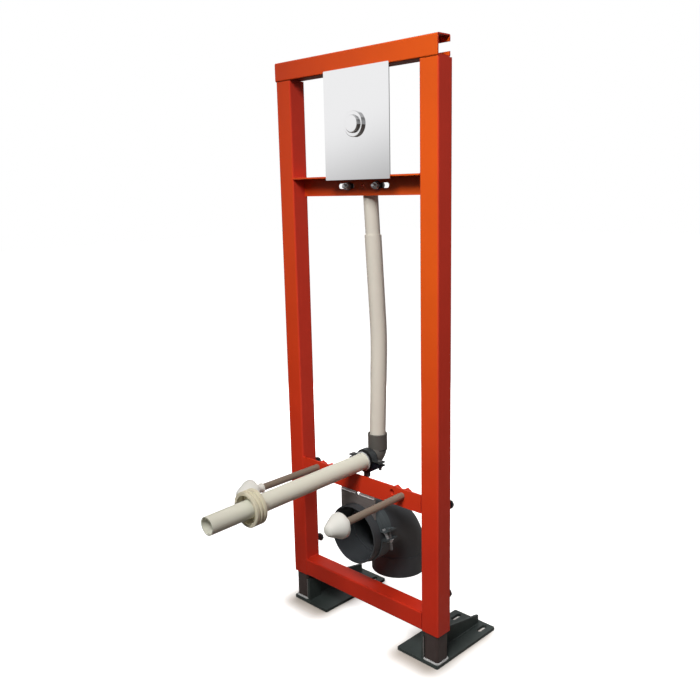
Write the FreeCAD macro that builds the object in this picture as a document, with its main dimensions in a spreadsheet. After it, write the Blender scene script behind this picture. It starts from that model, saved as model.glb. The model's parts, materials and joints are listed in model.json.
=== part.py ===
"""Wall hung toilet frame: welded steel uprights and rails on telescoping feet,
with a push-button flush valve, flush pipe, pan studs and a waste bend.
Millimetres. +Z is up and +Y runs back towards the wall. The origin is on the floor,
midway between the floor slots of the two feet. Depths in the sketches are measured
from the front faces of the uprights."""
import FreeCAD
import Part
import Sketcher
import math
import os

doc = FreeCAD.newDocument("toilet_frame")
sheet = doc.addObject("Spreadsheet::Sheet", "Dims")


class Size:
    """A length that carries its number together with the sheet formula behind it."""

    def __init__(self, text, value):
        self.text = text
        self.value = value

    def join(self, sign, other, value):
        return Size("(%s %s %s)" % (self.text, sign, other.text), value)

    def __add__(self, other):
        other = size(other)
        return self.join("+", other, self.value + other.value)

    def __radd__(self, other):
        return size(other) + self

    def __sub__(self, other):
        other = size(other)
        return self.join("-", other, self.value - other.value)

    def __rsub__(self, other):
        return size(other) - self

    def __mul__(self, other):
        other = size(other)
        return self.join("*", other, self.value * other.value)

    def __rmul__(self, other):
        return size(other) * self

    def __truediv__(self, other):
        other = size(other)
        return self.join("/", other, self.value / other.value)

    def __neg__(self):
        return Size("(-1 * %s)" % self.text, -self.value)


def size(value):
    """Turns a plain number into a Size, and leaves a Size as it is."""
    return value if isinstance(value, Size) else Size(repr(float(value)), float(value))


ROW = [1]


def dim(alias, value):
    """Writes one driving dimension on the sheet and returns it as a Size."""
    row = ROW[0]
    sheet.set("A%d" % row, alias)
    sheet.set("B%d" % row, repr(value))
    sheet.setAlias("B%d" % row, alias)
    ROW[0] = row + 1
    return Size("Dims.%s" % alias, float(value))


# Steel frame
frame_width = dim("frame_width", 400)
frame_height = dim("frame_height", 1124)
upright_width = dim("upright_width", 40)
upright_depth = dim("upright_depth", 38)
upright_wall = dim("upright_wall", 2.5)
upright_base = dim("upright_base", 65)
tube_corner = dim("tube_corner", 3.2)
top_rail_height = dim("top_rail_height", 35)
top_rail_depth = dim("top_rail_depth", 33)
top_rail_wall = dim("top_rail_wall", 2.5)
top_rail_proud = dim("top_rail_proud", 1.5)
top_rail_corner = dim("top_rail_corner", 3)
top_lip = dim("top_lip", 11)
bottom_lip = dim("bottom_lip", 9)
bottom_rail_height = dim("bottom_rail_height", 37)
bottom_rail_depth = dim("bottom_rail_depth", 36)
valve_bar_drop = dim("valve_bar_drop", 182)
valve_bar_height = dim("valve_bar_height", 36)
valve_bar_depth = dim("valve_bar_depth", 33)
valve_bar_wall = dim("valve_bar_wall", 3)
valve_slot_drop = dim("valve_slot_drop", 18)
valve_slot_centre = dim("valve_slot_centre", 43.5)
valve_slot_length = dim("valve_slot_length", 43)
valve_slot_width = dim("valve_slot_width", 9.5)
valve_bar_hole = dim("valve_bar_hole", 6)
pan_bar_height = dim("pan_bar_height", 35)
pan_bar_depth = dim("pan_bar_depth", 34)
pan_bar_wall = dim("pan_bar_wall", 4)
pan_bar_edge = dim("pan_bar_edge", 12)

# Pan fixing studs
stud_height = dim("stud_height", 323)
stud_spacing = dim("stud_spacing", 230)
inner_spacing = dim("inner_spacing", 180)
stud_diameter = dim("stud_diameter", 10)
stud_clearance = dim("stud_clearance", 0.3)
nut_clearance = dim("nut_clearance", 0.6)
left_stud_droop = dim("left_stud_droop", 0.5)
right_stud_droop = dim("right_stud_droop", 1.8)
weld_nut_flats = dim("weld_nut_flats", 18)
weld_nut_length = dim("weld_nut_length", 14)
stud_tail = dim("stud_tail", 6)
sleeve_wall = dim("sleeve_wall", 1.4)
sleeve_length = dim("sleeve_length", 147)
cap_diameter = dim("cap_diameter", 46)
cap_bell = dim("cap_bell", 37)
left_cap_neck = dim("left_cap_neck", 22)
right_cap_neck = dim("right_cap_neck", 11)
cap_neck_diameter = dim("cap_neck_diameter", 17)
cap_bead = dim("cap_bead", 2)
cap_rim = dim("cap_rim", 8)
cap_nose = dim("cap_nose", 17)
cap_grip = dim("cap_grip", 18)

# Telescoping feet
leg_clearance = dim("leg_clearance", 0.75)
leg_wall = dim("leg_wall", 3)
leg_corner = dim("leg_corner", 5)
leg_length = dim("leg_length", 470)
base_width = dim("base_width", 100)
base_depth = dim("base_depth", 187)
base_front = dim("base_front", 2)
base_thickness = dim("base_thickness", 6)
base_corner = dim("base_corner", 3)
base_slot_length = dim("base_slot_length", 28)
base_slot_width = dim("base_slot_width", 10)
base_slot_back = dim("base_slot_back", 22)
base_slot_edge = dim("base_slot_edge", 17)
base_slot_gap = dim("base_slot_gap", 64)
gusset_thickness = dim("gusset_thickness", 5)
gusset_edge = dim("gusset_edge", 35)
gusset_back = dim("gusset_back", 12)
gusset_high = dim("gusset_high", 44)
gusset_low = dim("gusset_low", 19)
lock_bolt_diameter = dim("lock_bolt_diameter", 10)
lock_bolt_upper = dim("lock_bolt_upper", 305)
lock_bolt_lower = dim("lock_bolt_lower", 127)
lock_nut_flats = dim("lock_nut_flats", 15)
lock_nut_length = dim("lock_nut_length", 9)
lock_bolt_stand = dim("lock_bolt_stand", 11)
lock_bolt_short = dim("lock_bolt_short", 6)
lock_head_length = dim("lock_head_length", 6.4)

# Flush valve, plate and button
plate_width = dim("plate_width", 160)
plate_height = dim("plate_height", 193)
plate_thickness = dim("plate_thickness", 2)
plate_overlap = dim("plate_overlap", 4)
plate_offset = dim("plate_offset", 15)
plate_shift = dim("plate_shift", 2)
collar_diameter = dim("collar_diameter", 45)
collar_length = dim("collar_length", 5)
collar_neck = dim("collar_neck", 38)
collar_bevel = dim("collar_bevel", 1)
button_diameter = dim("button_diameter", 31)
button_clearance = dim("button_clearance", 0.3)
button_proud = dim("button_proud", 5)
button_travel = dim("button_travel", 6)
button_stop = dim("button_stop", 2)
button_bevel = dim("button_bevel", 1.5)
valve_diameter = dim("valve_diameter", 48)
valve_front = dim("valve_front", 14)
valve_length = dim("valve_length", 46)
valve_bore = dim("valve_bore", 34)
valve_end = dim("valve_end", 5)
valve_outlet_diameter = dim("valve_outlet_diameter", 36)
valve_outlet_drop = dim("valve_outlet_drop", 86)
valve_outlet_bore = dim("valve_outlet_bore", 24)
valve_inlet_diameter = dim("valve_inlet_diameter", 26)
valve_inlet_rise = dim("valve_inlet_rise", 56)
valve_inlet_thread = dim("valve_inlet_thread", 26)
valve_inlet_neck = dim("valve_inlet_neck", 23)
valve_inlet_bore = dim("valve_inlet_bore", 16)
inlet_clearance = dim("inlet_clearance", 1.5)
tube_insert = dim("tube_insert", 12)
tube_stop = dim("tube_stop", 2)
bracket_lug = dim("bracket_lug", 20)
bracket_thickness = dim("bracket_thickness", 3)
bracket_margin = dim("bracket_margin", 15)
valve_bolt_diameter = dim("valve_bolt_diameter", 8)
valve_bolt_centre = dim("valve_bolt_centre", 37)
valve_nut_flats = dim("valve_nut_flats", 13)
valve_nut_length = dim("valve_nut_length", 6.5)
valve_washer_diameter = dim("valve_washer_diameter", 17)
valve_washer_thickness = dim("valve_washer_thickness", 1.6)
valve_bolt_proud = dim("valve_bolt_proud", 6)
seat_gap = dim("seat_gap", 0.3)

# Flush tubes
upper_tube_diameter = dim("upper_tube_diameter", 28)
lower_tube_diameter = dim("lower_tube_diameter", 32)
tube_wall = dim("tube_wall", 1.7)
tube_lap = dim("tube_lap", 24)
tube_top_back = dim("tube_top_back", 47.5)
tube_step_drop = dim("tube_step_drop", 109)
tube_knee_rise = dim("tube_knee_rise", 195)
tube_knee_back = dim("tube_knee_back", 68)
tube_knee_radius = dim("tube_knee_radius", 700)
elbow_back = dim("elbow_back", 59)
elbow_height = dim("elbow_height", 360.2)
elbow_radius = dim("elbow_radius", 20)
elbow_rise = dim("elbow_rise", 42)
elbow_collar = dim("elbow_collar", 27)
elbow_wall = dim("elbow_wall", 1.8)
elbow_collar_wall = dim("elbow_collar_wall", 2.6)
elbow_clearance = dim("elbow_clearance", 0.6)
flush_diameter = dim("flush_diameter", 33)
flush_wall = dim("flush_wall", 2)
flush_length = dim("flush_length", 395)
flush_droop = dim("flush_droop", 1.95)
ring_diameter = dim("ring_diameter", 64)
ring_bore = dim("ring_bore", 52)
ring_distance = dim("ring_distance", 311)
ring_back_rib = dim("ring_back_rib", 6.5)
ring_middle_rib = dim("ring_middle_rib", 5)
ring_front_lip = dim("ring_front_lip", 6.5)
ring_groove = dim("ring_groove", 2.5)
ring_skirt = dim("ring_skirt", 7)
ring_bevel = dim("ring_bevel", 1.2)

# Clip that carries the flush pipe
clip_gap = dim("clip_gap", 2)
clip_width = dim("clip_width", 21)
clip_strap = dim("clip_strap", 13)
clip_saddle = dim("clip_saddle", 2)
clip_lining = dim("clip_lining", 3.4)
clip_wall = dim("clip_wall", 2.5)
clip_ear = dim("clip_ear", 20)
clip_split = dim("clip_split", 4)
clip_boss_diameter = dim("clip_boss_diameter", 13)
clip_boss_length = dim("clip_boss_length", 8)
clip_stud_diameter = dim("clip_stud_diameter", 8)
clip_stud_tail = dim("clip_stud_tail", 8)
clip_stud_gap = dim("clip_stud_gap", 0.9)

# Waste bend and its hanger
waste_diameter = dim("waste_diameter", 110)
waste_wall = dim("waste_wall", 3.5)
waste_height = dim("waste_height", 215)
waste_front = dim("waste_front", 17)
waste_back = dim("waste_back", 118)
waste_radius = dim("waste_radius", 76)
waste_foot = dim("waste_foot", 98.5)
waste_mouth_diameter = dim("waste_mouth_diameter", 118)
waste_mouth_wall = dim("waste_mouth_wall", 2.8)
waste_shoulder = dim("waste_shoulder", 5)
waste_socket_diameter = dim("waste_socket_diameter", 113)
waste_socket_length = dim("waste_socket_length", 42)
band_wall = dim("band_wall", 2.5)
band_width = dim("band_width", 30)
band_ear = dim("band_ear", 11.5)
band_ear_split = dim("band_ear_split", 14)
band_turn = dim("band_turn", 8)
band_screw_diameter = dim("band_screw_diameter", 6.5)
band_screw_tail = dim("band_screw_tail", 22)
band_nut_flats = dim("band_nut_flats", 10)
band_nut_length = dim("band_nut_length", 6)
hanger_width = dim("hanger_width", 92)
hanger_wall = dim("hanger_wall", 3)
hanger_forward = dim("hanger_forward", 1)
hanger_bend = dim("hanger_bend", 4)
hanger_fold = dim("hanger_fold", 18)
hanger_drop = dim("hanger_drop", 50)
hanger_notch = dim("hanger_notch", 12)

doc.recompute()


anchor_line = base_depth - base_front - base_slot_back


ACROSS = FreeCAD.Vector(1, 0, 0)
FORWARD = FreeCAD.Vector(0, -1, 0)


def move(obj, x, y, z, tilt=None, axis=ACROSS):
    """Places a body by sheet formulas, tilted about an axis where it droops or is turned."""
    x, y, z = size(x), size(y) - anchor_line, size(z)
    angle = tilt.value if tilt else 0
    turn = FreeCAD.Rotation(axis, angle)
    obj.Placement = FreeCAD.Placement(FreeCAD.Vector(x.value, y.value, z.value), turn)
    obj.setExpression("Placement.Base.x", x.text)
    obj.setExpression("Placement.Base.y", y.text)
    obj.setExpression("Placement.Base.z", z.text)
    if tilt:
        obj.setExpression("Placement.Rotation.Angle", tilt.text)


def node(name, x=0, y=0, z=0, tilt=None, axis=ACROSS):
    """Starts one named piece."""
    body = doc.addObject("PartDesign::Body", name)
    body.Label = name
    move(body, x, y, z, tilt, axis)
    return body


def sketch(body, plane, lift=None):
    """An empty sketch on one of the body's own planes, lifted along its normal."""
    flat = [f for f in body.Origin.OriginFeatures if getattr(f, "Role", "") == plane][0]
    sk = body.newObject("Sketcher::SketchObject", body.Name + "_sketch")
    sk.AttachmentSupport = [(flat, "")]
    sk.MapMode = "FlatFace"
    if lift is not None:
        lift = size(lift)
        sk.AttachmentOffset = FreeCAD.Placement(FreeCAD.Vector(0, 0, lift.value), FreeCAD.Rotation())
        sk.setExpression("AttachmentOffset.Base.z", lift.text)
    return sk


def bind(sk, constraint, formula):
    """Adds a constraint and ties its value to the sheet."""
    index = sk.addConstraint(constraint)
    sk.setExpression("Constraints[%d]" % index, formula.text)


def hold(sk, geo, end, x=None, y=None):
    """Ties one point of the sketch to its distances from the sketch origin."""
    for kind, axis, value in (("DistanceX", -2, x), ("DistanceY", -1, y)):
        if value is None:
            continue
        value = size(value)
        if abs(value.value) < 1e-9:
            sk.addConstraint(Sketcher.Constraint("PointOnObject", geo, end, axis))
        elif value.value > 0:
            bind(sk, Sketcher.Constraint(kind, -1, 1, geo, end, value.value), value)
        else:
            bind(sk, Sketcher.Constraint(kind, geo, end, -1, 1, -value.value), -value)


def spot(x, y):
    return FreeCAD.Vector(size(x).value, size(y).value, 0)


def rounding(before, corner, after, radius):
    """The first end, middle and last end of an arc that rounds a corner."""
    u, v = (before - corner).normalize(), (after - corner).normalize()
    cut = radius * ((1 + u.dot(v)) / (1 - u.dot(v))) ** 0.5
    lift = (cut ** 2 + radius ** 2) ** 0.5 - radius
    return corner + u * cut, corner + (u + v).normalize() * lift, corner + v * cut


def outline(sk, points, closed=True):
    """Straight lines through corners given as sheet formulas; a third value rounds a corner."""
    first = sk.GeometryCount
    count = len(points)
    lines = count if closed else count - 1
    ends = []
    for i, (x, y, *radius) in enumerate(points):
        corner = spot(x, y)
        if radius:
            before, after = spot(*points[i - 1][:2]), spot(*points[(i + 1) % count][:2])
            ends.append(rounding(before, corner, after, size(radius[0]).value))
        else:
            ends.append((corner, corner, corner))
    for i in range(lines):
        sk.addGeometry(Part.LineSegment(ends[i][2], ends[(i + 1) % count][0]), False)
    for i, (x, y, *radius) in enumerate(points):
        last, line = first + (i - 1) % count, first + i
        if radius:
            round_corner(sk, last, line, ends[i], (x, y), size(radius[0]))
        elif i == lines:
            hold(sk, last, 2, x, y)
        else:
            hold(sk, line, 1, x, y)
            if closed or i > 0:
                sk.addConstraint(Sketcher.Constraint("Coincident", last, 2, line, 1))


def round_corner(sk, last, line, ends, corner, radius):
    """Joins two lines by a tangent arc and keeps the corner that they run towards."""
    start, middle, end = ends
    turns_left = (middle - start).cross(end - middle).z > 0
    curve = Part.Arc(start, middle, end) if turns_left else Part.Arc(end, middle, start)
    arc = sk.addGeometry(curve, False)
    head = 1 if turns_left else 2
    sk.addConstraint(Sketcher.Constraint("Tangent", last, 2, arc, head))
    sk.addConstraint(Sketcher.Constraint("Tangent", arc, 3 - head, line, 1))
    bind(sk, Sketcher.Constraint("Radius", arc, radius.value), radius)
    point = sk.addGeometry(Part.Point(spot(*corner)), True)
    hold(sk, point, 1, *corner)
    sk.addConstraint(Sketcher.Constraint("PointOnObject", point, 1, last))
    sk.addConstraint(Sketcher.Constraint("PointOnObject", point, 1, line))


def box(sk, x0, y0, x1, y1):
    outline(sk, [(x0, y0), (x1, y0), (x1, y1), (x0, y1)])


def soft_box(sk, x0, y0, x1, y1, radius):
    """A rectangle with rounded corners."""
    outline(sk, [(x0, y0, radius), (x1, y0, radius), (x1, y1, radius), (x0, y1, radius)])


def circle(sk, x, y, diameter):
    diameter = size(diameter)
    geo = sk.addGeometry(Part.Circle(spot(x, y), FreeCAD.Vector(0, 0, 1), diameter.value / 2), False)
    hold(sk, geo, 3, x, y)
    bind(sk, Sketcher.Constraint("Diameter", geo, diameter.value), diameter)


def hexagon(sk, x, y, flats, point_up):
    """A regular hexagon, by its size across flats, with a corner or a flat at the top."""
    half = size(flats) / 2
    corner = size(flats) * 0.57735
    step = size(flats) * 0.288675
    if point_up:
        shape = [(0, -corner), (half, -step), (half, step), (0, corner), (-half, step), (-half, -step)]
    else:
        shape = [(corner, 0), (step, half), (-step, half), (-corner, 0), (-step, -half), (step, -half)]
    outline(sk, [(x + dx, y + dy) for dx, dy in shape])


def slot(sk, x, y, length, width, upright=False):
    """A hole with round ends, centred on a point, along either axis of the sketch."""
    x, y, width = size(x), size(y), size(width)
    half = (size(length) - width) / 2
    r = width.value / 2
    along = (0, half) if upright else (half, 0)
    ends = [(x + along[0], y + along[1]), (x - along[0], y - along[1])]
    turn = math.pi / 2
    low = 0 if upright else -turn
    first = sk.GeometryCount
    for i, end in enumerate(ends):
        ring = Part.Circle(spot(*end), FreeCAD.Vector(0, 0, 1), r)
        sk.addGeometry(Part.ArcOfCircle(ring, low + 2 * turn * i, low + 2 * turn * (i + 1)), False)
    side = FreeCAD.Vector(r, 0, 0) if upright else FreeCAD.Vector(0, -r, 0)
    high, lower = spot(*ends[0]), spot(*ends[1])
    sk.addGeometry(Part.LineSegment(high - side, lower - side), False)
    sk.addGeometry(Part.LineSegment(lower + side, high + side), False)
    sk.addConstraint(Sketcher.Constraint("Tangent", first, 2, first + 2, 1))
    sk.addConstraint(Sketcher.Constraint("Tangent", first + 2, 2, first + 1, 1))
    sk.addConstraint(Sketcher.Constraint("Tangent", first + 1, 2, first + 3, 1))
    sk.addConstraint(Sketcher.Constraint("Tangent", first + 3, 2, first, 1))
    sk.addConstraint(Sketcher.Constraint("Equal", first, first + 1))
    hold(sk, first, 3, *ends[0])
    hold(sk, first + 1, 3, *ends[1])
    bind(sk, Sketcher.Constraint("Radius", first, r), width / 2)


def grow(body, sk, length, back=False, cut=False):
    """Pads a sketch, or pockets it, by a length from the sheet."""
    feature = body.newObject("PartDesign::Pocket" if cut else "PartDesign::Pad", body.Name + "_grow")
    feature.Profile = sk
    feature.Type = "Length"
    feature.setExpression("Length", size(length).text)
    feature.Reversed = back
    body.Tip = feature
    return feature


def spin(body, sk, axis, cut=False):
    """Turns a sketch once round one of its own axes."""
    feature = body.newObject("PartDesign::Groove" if cut else "PartDesign::Revolution", body.Name + "_turn")
    feature.Profile = sk
    feature.ReferenceAxis = (sk, [axis])
    feature.Angle = 360
    body.Tip = feature
    return feature


def bend(body, sk, drop, angle):
    """Turns a ring section round a line that lies a bend radius below it in its sketch."""
    first = sk.addGeometry(Part.LineSegment(spot(-drop / 2, -drop), spot(drop / 2, -drop)), True)
    hold(sk, first, 1, -drop / 2, -drop)
    hold(sk, first, 2, drop / 2, -drop)
    feature = body.newObject("PartDesign::Revolution", body.Name + "_bend")
    feature.Profile = sk
    feature.ReferenceAxis = (sk, ["Axis0"])
    feature.setExpression("Angle", size(angle).text)
    feature.Reversed = True
    body.Tip = feature
    return feature


def sweep(body, profile, spine):
    """Runs a profile along every edge of a spine."""
    doc.recompute()
    feature = body.newObject("PartDesign::AdditivePipe", body.Name + "_sweep")
    feature.Profile = profile
    feature.Spine = (spine, ["Edge%d" % (i + 1) for i in range(len(spine.Shape.Edges))])
    body.Tip = feature
    return feature


def tangent(angle):
    return Size("tan(%s)" % angle.text, math.tan(math.radians(angle.value)))


inside = frame_width / 2 - upright_width
upright_top = frame_height - top_rail_height
upright_axis = frame_width / 2 - upright_width / 2
valve_bar_top = upright_top - valve_bar_drop
valve_slot_height = valve_bar_top - valve_slot_drop
leg_width = upright_width - upright_wall * 2 - leg_clearance * 2
leg_depth = upright_depth - upright_wall * 2 - leg_clearance * 2
leg_front = upright_wall + leg_clearance
leg_back = leg_front + leg_depth
pan_bar_top = stud_height + pan_bar_edge
pan_bar_base = pan_bar_top - pan_bar_height
plate_middle = upright_top + plate_overlap - plate_height / 2
slope = tangent(flush_droop)
elbow_bore = lower_tube_diameter + elbow_clearance * 2
tube_top = plate_middle - valve_outlet_drop + tube_insert - tube_stop
tube_step_height = valve_bar_top - tube_step_drop
tube_knee_height = elbow_height + elbow_rise + tube_knee_rise
lean = (tube_knee_back - tube_top_back) / (tube_top - tube_knee_height)
tube_step_back = tube_top_back + lean * (tube_top - tube_step_height)
elbow_reach = elbow_radius * tangent((90 - flush_droop) / 2)

# Uprights: rectangular tubes with two welded nuts on the back for the leg bolts
for side, sign in (("left", -1), ("right", 1)):
    upright = node(side + "_upright", upright_axis * sign, 0, upright_base)
    sk = sketch(upright, "XY_Plane")
    soft_box(sk, -upright_width / 2, 0, upright_width / 2, upright_depth, tube_corner)
    soft_box(sk, upright_wall - upright_width / 2, upright_wall, upright_width / 2 - upright_wall,
             upright_depth - upright_wall, tube_corner - upright_wall)
    grow(upright, sk, upright_top - upright_base)
    sk = sketch(upright, "XZ_Plane", -upright_depth)
    for level in (lock_bolt_upper, lock_bolt_lower):
        hexagon(sk, 0, level - upright_base, lock_nut_flats, True)
    grow(upright, sk, lock_nut_length, back=True)
    sk = sketch(upright, "XZ_Plane", -(upright_depth + lock_nut_length))
    for level in (lock_bolt_upper, lock_bolt_lower):
        circle(sk, 0, level - upright_base, lock_bolt_diameter + seat_gap * 2)
    grow(upright, sk, lock_nut_length + upright_wall, back=True, cut=True)

# Leg bolts: a shank that presses on the leg and a hexagon head
for side, sign in (("left", -1), ("right", 1)):
    for place, level in (("upper", lock_bolt_upper), ("lower", lock_bolt_lower)):
        bolt = node("%s_%s_leg_bolt" % (side, place), upright_axis * sign, leg_back + seat_gap, level)
        stand = lock_bolt_short if (side, place) == ("right", "lower") else lock_bolt_stand
        shank = upright_depth + lock_nut_length + stand - leg_back - seat_gap
        sk = sketch(bolt, "XZ_Plane")
        circle(sk, 0, 0, lock_bolt_diameter)
        grow(bolt, sk, shank, back=True)
        sk = sketch(bolt, "XZ_Plane", -shank)
        hexagon(sk, 0, 0, lock_nut_flats, True)
        grow(bolt, sk, lock_head_length, back=True)

# Top rail: a lipped channel, open at the back, laid on both uprights
rail = node("top_rail", -frame_width / 2, -top_rail_proud, upright_top)
sk = sketch(rail, "YZ_Plane")
deep, tall, wall, bent = top_rail_depth, top_rail_height, top_rail_wall, top_rail_corner
inner = deep - wall
outline(sk, [(0, 0, bent), (deep, 0, bent), (deep, bottom_lip), (inner, bottom_lip), (inner, wall),
             (wall, wall), (wall, tall - wall), (inner, tall - wall), (inner, tall - top_lip),
             (deep, tall - top_lip), (deep, tall, bent), (0, tall, bent)])
grow(rail, sk, frame_width)

# Bottom rail: a rectangular tube between the uprights
rail = node("bottom_rail", -inside, 0, upright_base)
sk = sketch(rail, "YZ_Plane")
soft_box(sk, 0, 0, bottom_rail_depth, bottom_rail_height, tube_corner)
soft_box(sk, upright_wall, upright_wall, bottom_rail_depth - upright_wall, bottom_rail_height - upright_wall,
         tube_corner - upright_wall)
grow(rail, sk, inside * 2)

# Valve crossbar: an angle with its flange on top and slots in the hanging web
bar = node("valve_crossbar", -inside, 0, valve_bar_top)
sk = sketch(bar, "YZ_Plane")
outline(sk, [(0, 0), (0, -valve_bar_wall), (valve_bar_depth - valve_bar_wall, -valve_bar_wall),
             (valve_bar_depth - valve_bar_wall, -valve_bar_height), (valve_bar_depth, -valve_bar_height),
             (valve_bar_depth, 0)])
grow(bar, sk, inside * 2)
sk = sketch(bar, "XZ_Plane", -valve_bar_depth)
for sign in (-1, 1):
    slot(sk, inside + valve_slot_centre * sign, -valve_slot_drop, valve_slot_length, valve_slot_width)
circle(sk, inside, -valve_slot_drop, valve_bar_hole)
grow(bar, sk, valve_bar_wall, back=True, cut=True)

# Pan crossbar: an angle with its plate in front, four welded nuts behind the stud holes
bar = node("pan_crossbar", -inside, 0, pan_bar_base)
sk = sketch(bar, "YZ_Plane")
outline(sk, [(0, 0), (pan_bar_depth, 0), (pan_bar_depth, pan_bar_wall), (pan_bar_wall, pan_bar_wall),
             (pan_bar_wall, pan_bar_height), (0, pan_bar_height)])
grow(bar, sk, inside * 2)
hole_level = pan_bar_height - pan_bar_edge
columns = [inside + spacing / 2 * sign for spacing in (stud_spacing, inner_spacing) for sign in (-1, 1)]
sk = sketch(bar, "XZ_Plane", -pan_bar_wall)
for column in columns:
    hexagon(sk, column, hole_level, weld_nut_flats, True)
grow(bar, sk, weld_nut_length, back=True)
sk = sketch(bar, "XZ_Plane", -(pan_bar_wall + weld_nut_length))
for column in columns:
    circle(sk, column, hole_level, stud_diameter + nut_clearance * 2)
grow(bar, sk, pan_bar_wall + weld_nut_length, back=True, cut=True)
sk = sketch(bar, "XY_Plane", pan_bar_wall)
circle(sk, inside, elbow_back - (elbow_reach + clip_gap) - clip_width / 2, clip_stud_diameter + seat_gap * 2)
grow(bar, sk, pan_bar_wall, cut=True)

# Pan studs, drooping in their nuts, with their sleeves and bell-shaped caps
sleeve_bore = stud_diameter + stud_clearance * 2
pivot = (pan_bar_wall + weld_nut_length) / 2
cap_back = pivot + sleeve_length
sides = (("left", -1, left_stud_droop, left_cap_neck), ("right", 1, right_stud_droop, right_cap_neck))
for side, sign, droop, cap_neck in sides:
    grip = cap_neck + cap_grip
    place = (stud_spacing / 2 * sign, pivot, stud_height, droop)
    stud = node(side + "_pan_stud", *place)
    sk = sketch(stud, "XZ_Plane", cap_back + grip)
    circle(sk, 0, 0, stud_diameter)
    grow(stud, sk, grip + cap_back + pivot + stud_tail, back=True)
    sleeve = node(side + "_stud_sleeve", *place)
    sk = sketch(sleeve, "XZ_Plane", cap_back)
    circle(sk, 0, 0, sleeve_bore)
    circle(sk, 0, 0, sleeve_bore + sleeve_wall * 2)
    grow(sleeve, sk, sleeve_length - seat_gap, back=True)
    cap = node(side + "_stud_cap", *place)
    sk = sketch(cap, "YZ_Plane")
    bore = sleeve_bore / 2
    neck = cap_neck_diameter / 2
    bead = neck + cap_bead / 2
    edge = cap_diameter / 2
    nose = cap_nose / 2
    tip = cap_neck + cap_bell
    hollow = grip + stud_clearance
    profile = [(0, bore), (0, bead), (cap_bead, bead), (cap_bead, neck), (cap_neck, neck),
               (cap_neck, edge, cap_rim / 4), (cap_neck + cap_rim, edge, cap_rim * 2),
               (tip, nose, nose * 1.3), (tip, 0), (hollow, 0), (hollow, bore)]
    outline(sk, [(-cap_back - along, *radii) for along, *radii in profile])
    spin(cap, sk, "H_Axis")

# Feet: a square leg that slides in the upright, on a base plate with a gusset behind
for side, sign in (("left", -1), ("right", 1)):
    leg = node(side + "_leg", upright_axis * sign, leg_front, base_thickness)
    sk = sketch(leg, "XY_Plane")
    soft_box(sk, -leg_width / 2, 0, leg_width / 2, leg_depth, leg_corner)
    soft_box(sk, leg_wall - leg_width / 2, leg_wall, leg_width / 2 - leg_wall, leg_depth - leg_wall,
             leg_corner - leg_wall)
    grow(leg, sk, leg_length)
    base = node(side + "_base_plate", frame_width / 2 * sign, -base_front, 0)
    sk = sketch(base, "XY_Plane")
    if sign < 0:
        soft_box(sk, 0, 0, base_width, base_depth, base_corner)
    else:
        soft_box(sk, -base_width, 0, 0, base_depth, base_corner)
    for edge in (base_slot_edge, base_slot_edge + base_slot_gap):
        slot(sk, edge * -sign, base_depth - base_slot_back, base_slot_length, base_slot_width, upright=True)
    grow(base, sk, base_thickness)
    gusset_x = (frame_width / 2 - gusset_edge) * sign - gusset_thickness / 2
    gusset = node(side + "_gusset", gusset_x, leg_back, base_thickness)
    sk = sketch(gusset, "YZ_Plane")
    run = base_depth - base_front - gusset_back - leg_back
    outline(sk, [(0, 0), (run, 0), (run, gusset_low), (0, gusset_high)])
    grow(gusset, sk, gusset_thickness)

# Flush plate, collar and push button
plate = node("flush_plate", plate_offset, -top_rail_proud, plate_middle)
sk = sketch(plate, "XZ_Plane")
soft_box(sk, plate_shift - plate_width / 2, -plate_height / 2,
         plate_shift + plate_width / 2, plate_height / 2, plate_thickness)
circle(sk, 0, 0, collar_neck + seat_gap * 2)
grow(plate, sk, plate_thickness)

collar = node("button_collar", plate_offset, 0, plate_middle)
sk = sketch(collar, "YZ_Plane")
seat = -top_rail_proud - plate_thickness
front = seat - collar_length
bore = button_diameter / 2 + button_clearance
outline(sk, [(valve_front, bore), (valve_front, collar_neck / 2), (seat, collar_neck / 2),
             (seat, collar_diameter / 2), (front, collar_diameter / 2, collar_bevel), (front, bore)])
spin(collar, sk, "H_Axis")

button = node("push_button", plate_offset, 0, plate_middle)
sk = sketch(button, "YZ_Plane")
face = front - button_proud
rear = valve_front - button_travel - button_stop
outline(sk, [(rear, 0), (rear, button_diameter / 2), (face, button_diameter / 2, button_bevel), (face, 0)])
spin(button, sk, "H_Axis")

# Flush valve behind the plate: a bored barrel, an outlet tail below and a supply inlet above
valve = node("flush_valve", 0, valve_front, plate_middle)
sk = sketch(valve, "XZ_Plane")
circle(sk, plate_offset, 0, valve_diameter)
grow(valve, sk, valve_length, back=True)
sk = sketch(valve, "XY_Plane", -valve_outlet_drop)
circle(sk, 0, tube_top_back - valve_front, valve_outlet_diameter)
grow(valve, sk, valve_outlet_drop)
sk = sketch(valve, "XY_Plane")
inlet_back = valve_bar_depth + bracket_thickness + inlet_clearance + valve_inlet_diameter / 2
circle(sk, plate_offset, inlet_back - valve_front, valve_inlet_neck)
grow(valve, sk, valve_inlet_rise)
sk = sketch(valve, "XY_Plane", valve_inlet_rise - valve_inlet_thread)
circle(sk, plate_offset, inlet_back - valve_front, valve_inlet_diameter)
grow(valve, sk, valve_inlet_thread)
sk = sketch(valve, "XZ_Plane")
circle(sk, plate_offset, 0, valve_bore)
grow(valve, sk, valve_length - valve_end, cut=True)
sk = sketch(valve, "XY_Plane", valve_inlet_rise)
circle(sk, plate_offset, inlet_back - valve_front, valve_inlet_bore)
grow(valve, sk, valve_inlet_rise, cut=True)
sk = sketch(valve, "XY_Plane", -valve_outlet_drop)
circle(sk, 0, tube_top_back - valve_front, valve_outlet_bore)
grow(valve, sk, valve_outlet_drop, back=True, cut=True)
sk = sketch(valve, "XY_Plane", -valve_outlet_drop)
circle(sk, 0, tube_top_back - valve_front, upper_tube_diameter + elbow_clearance * 3)
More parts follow.
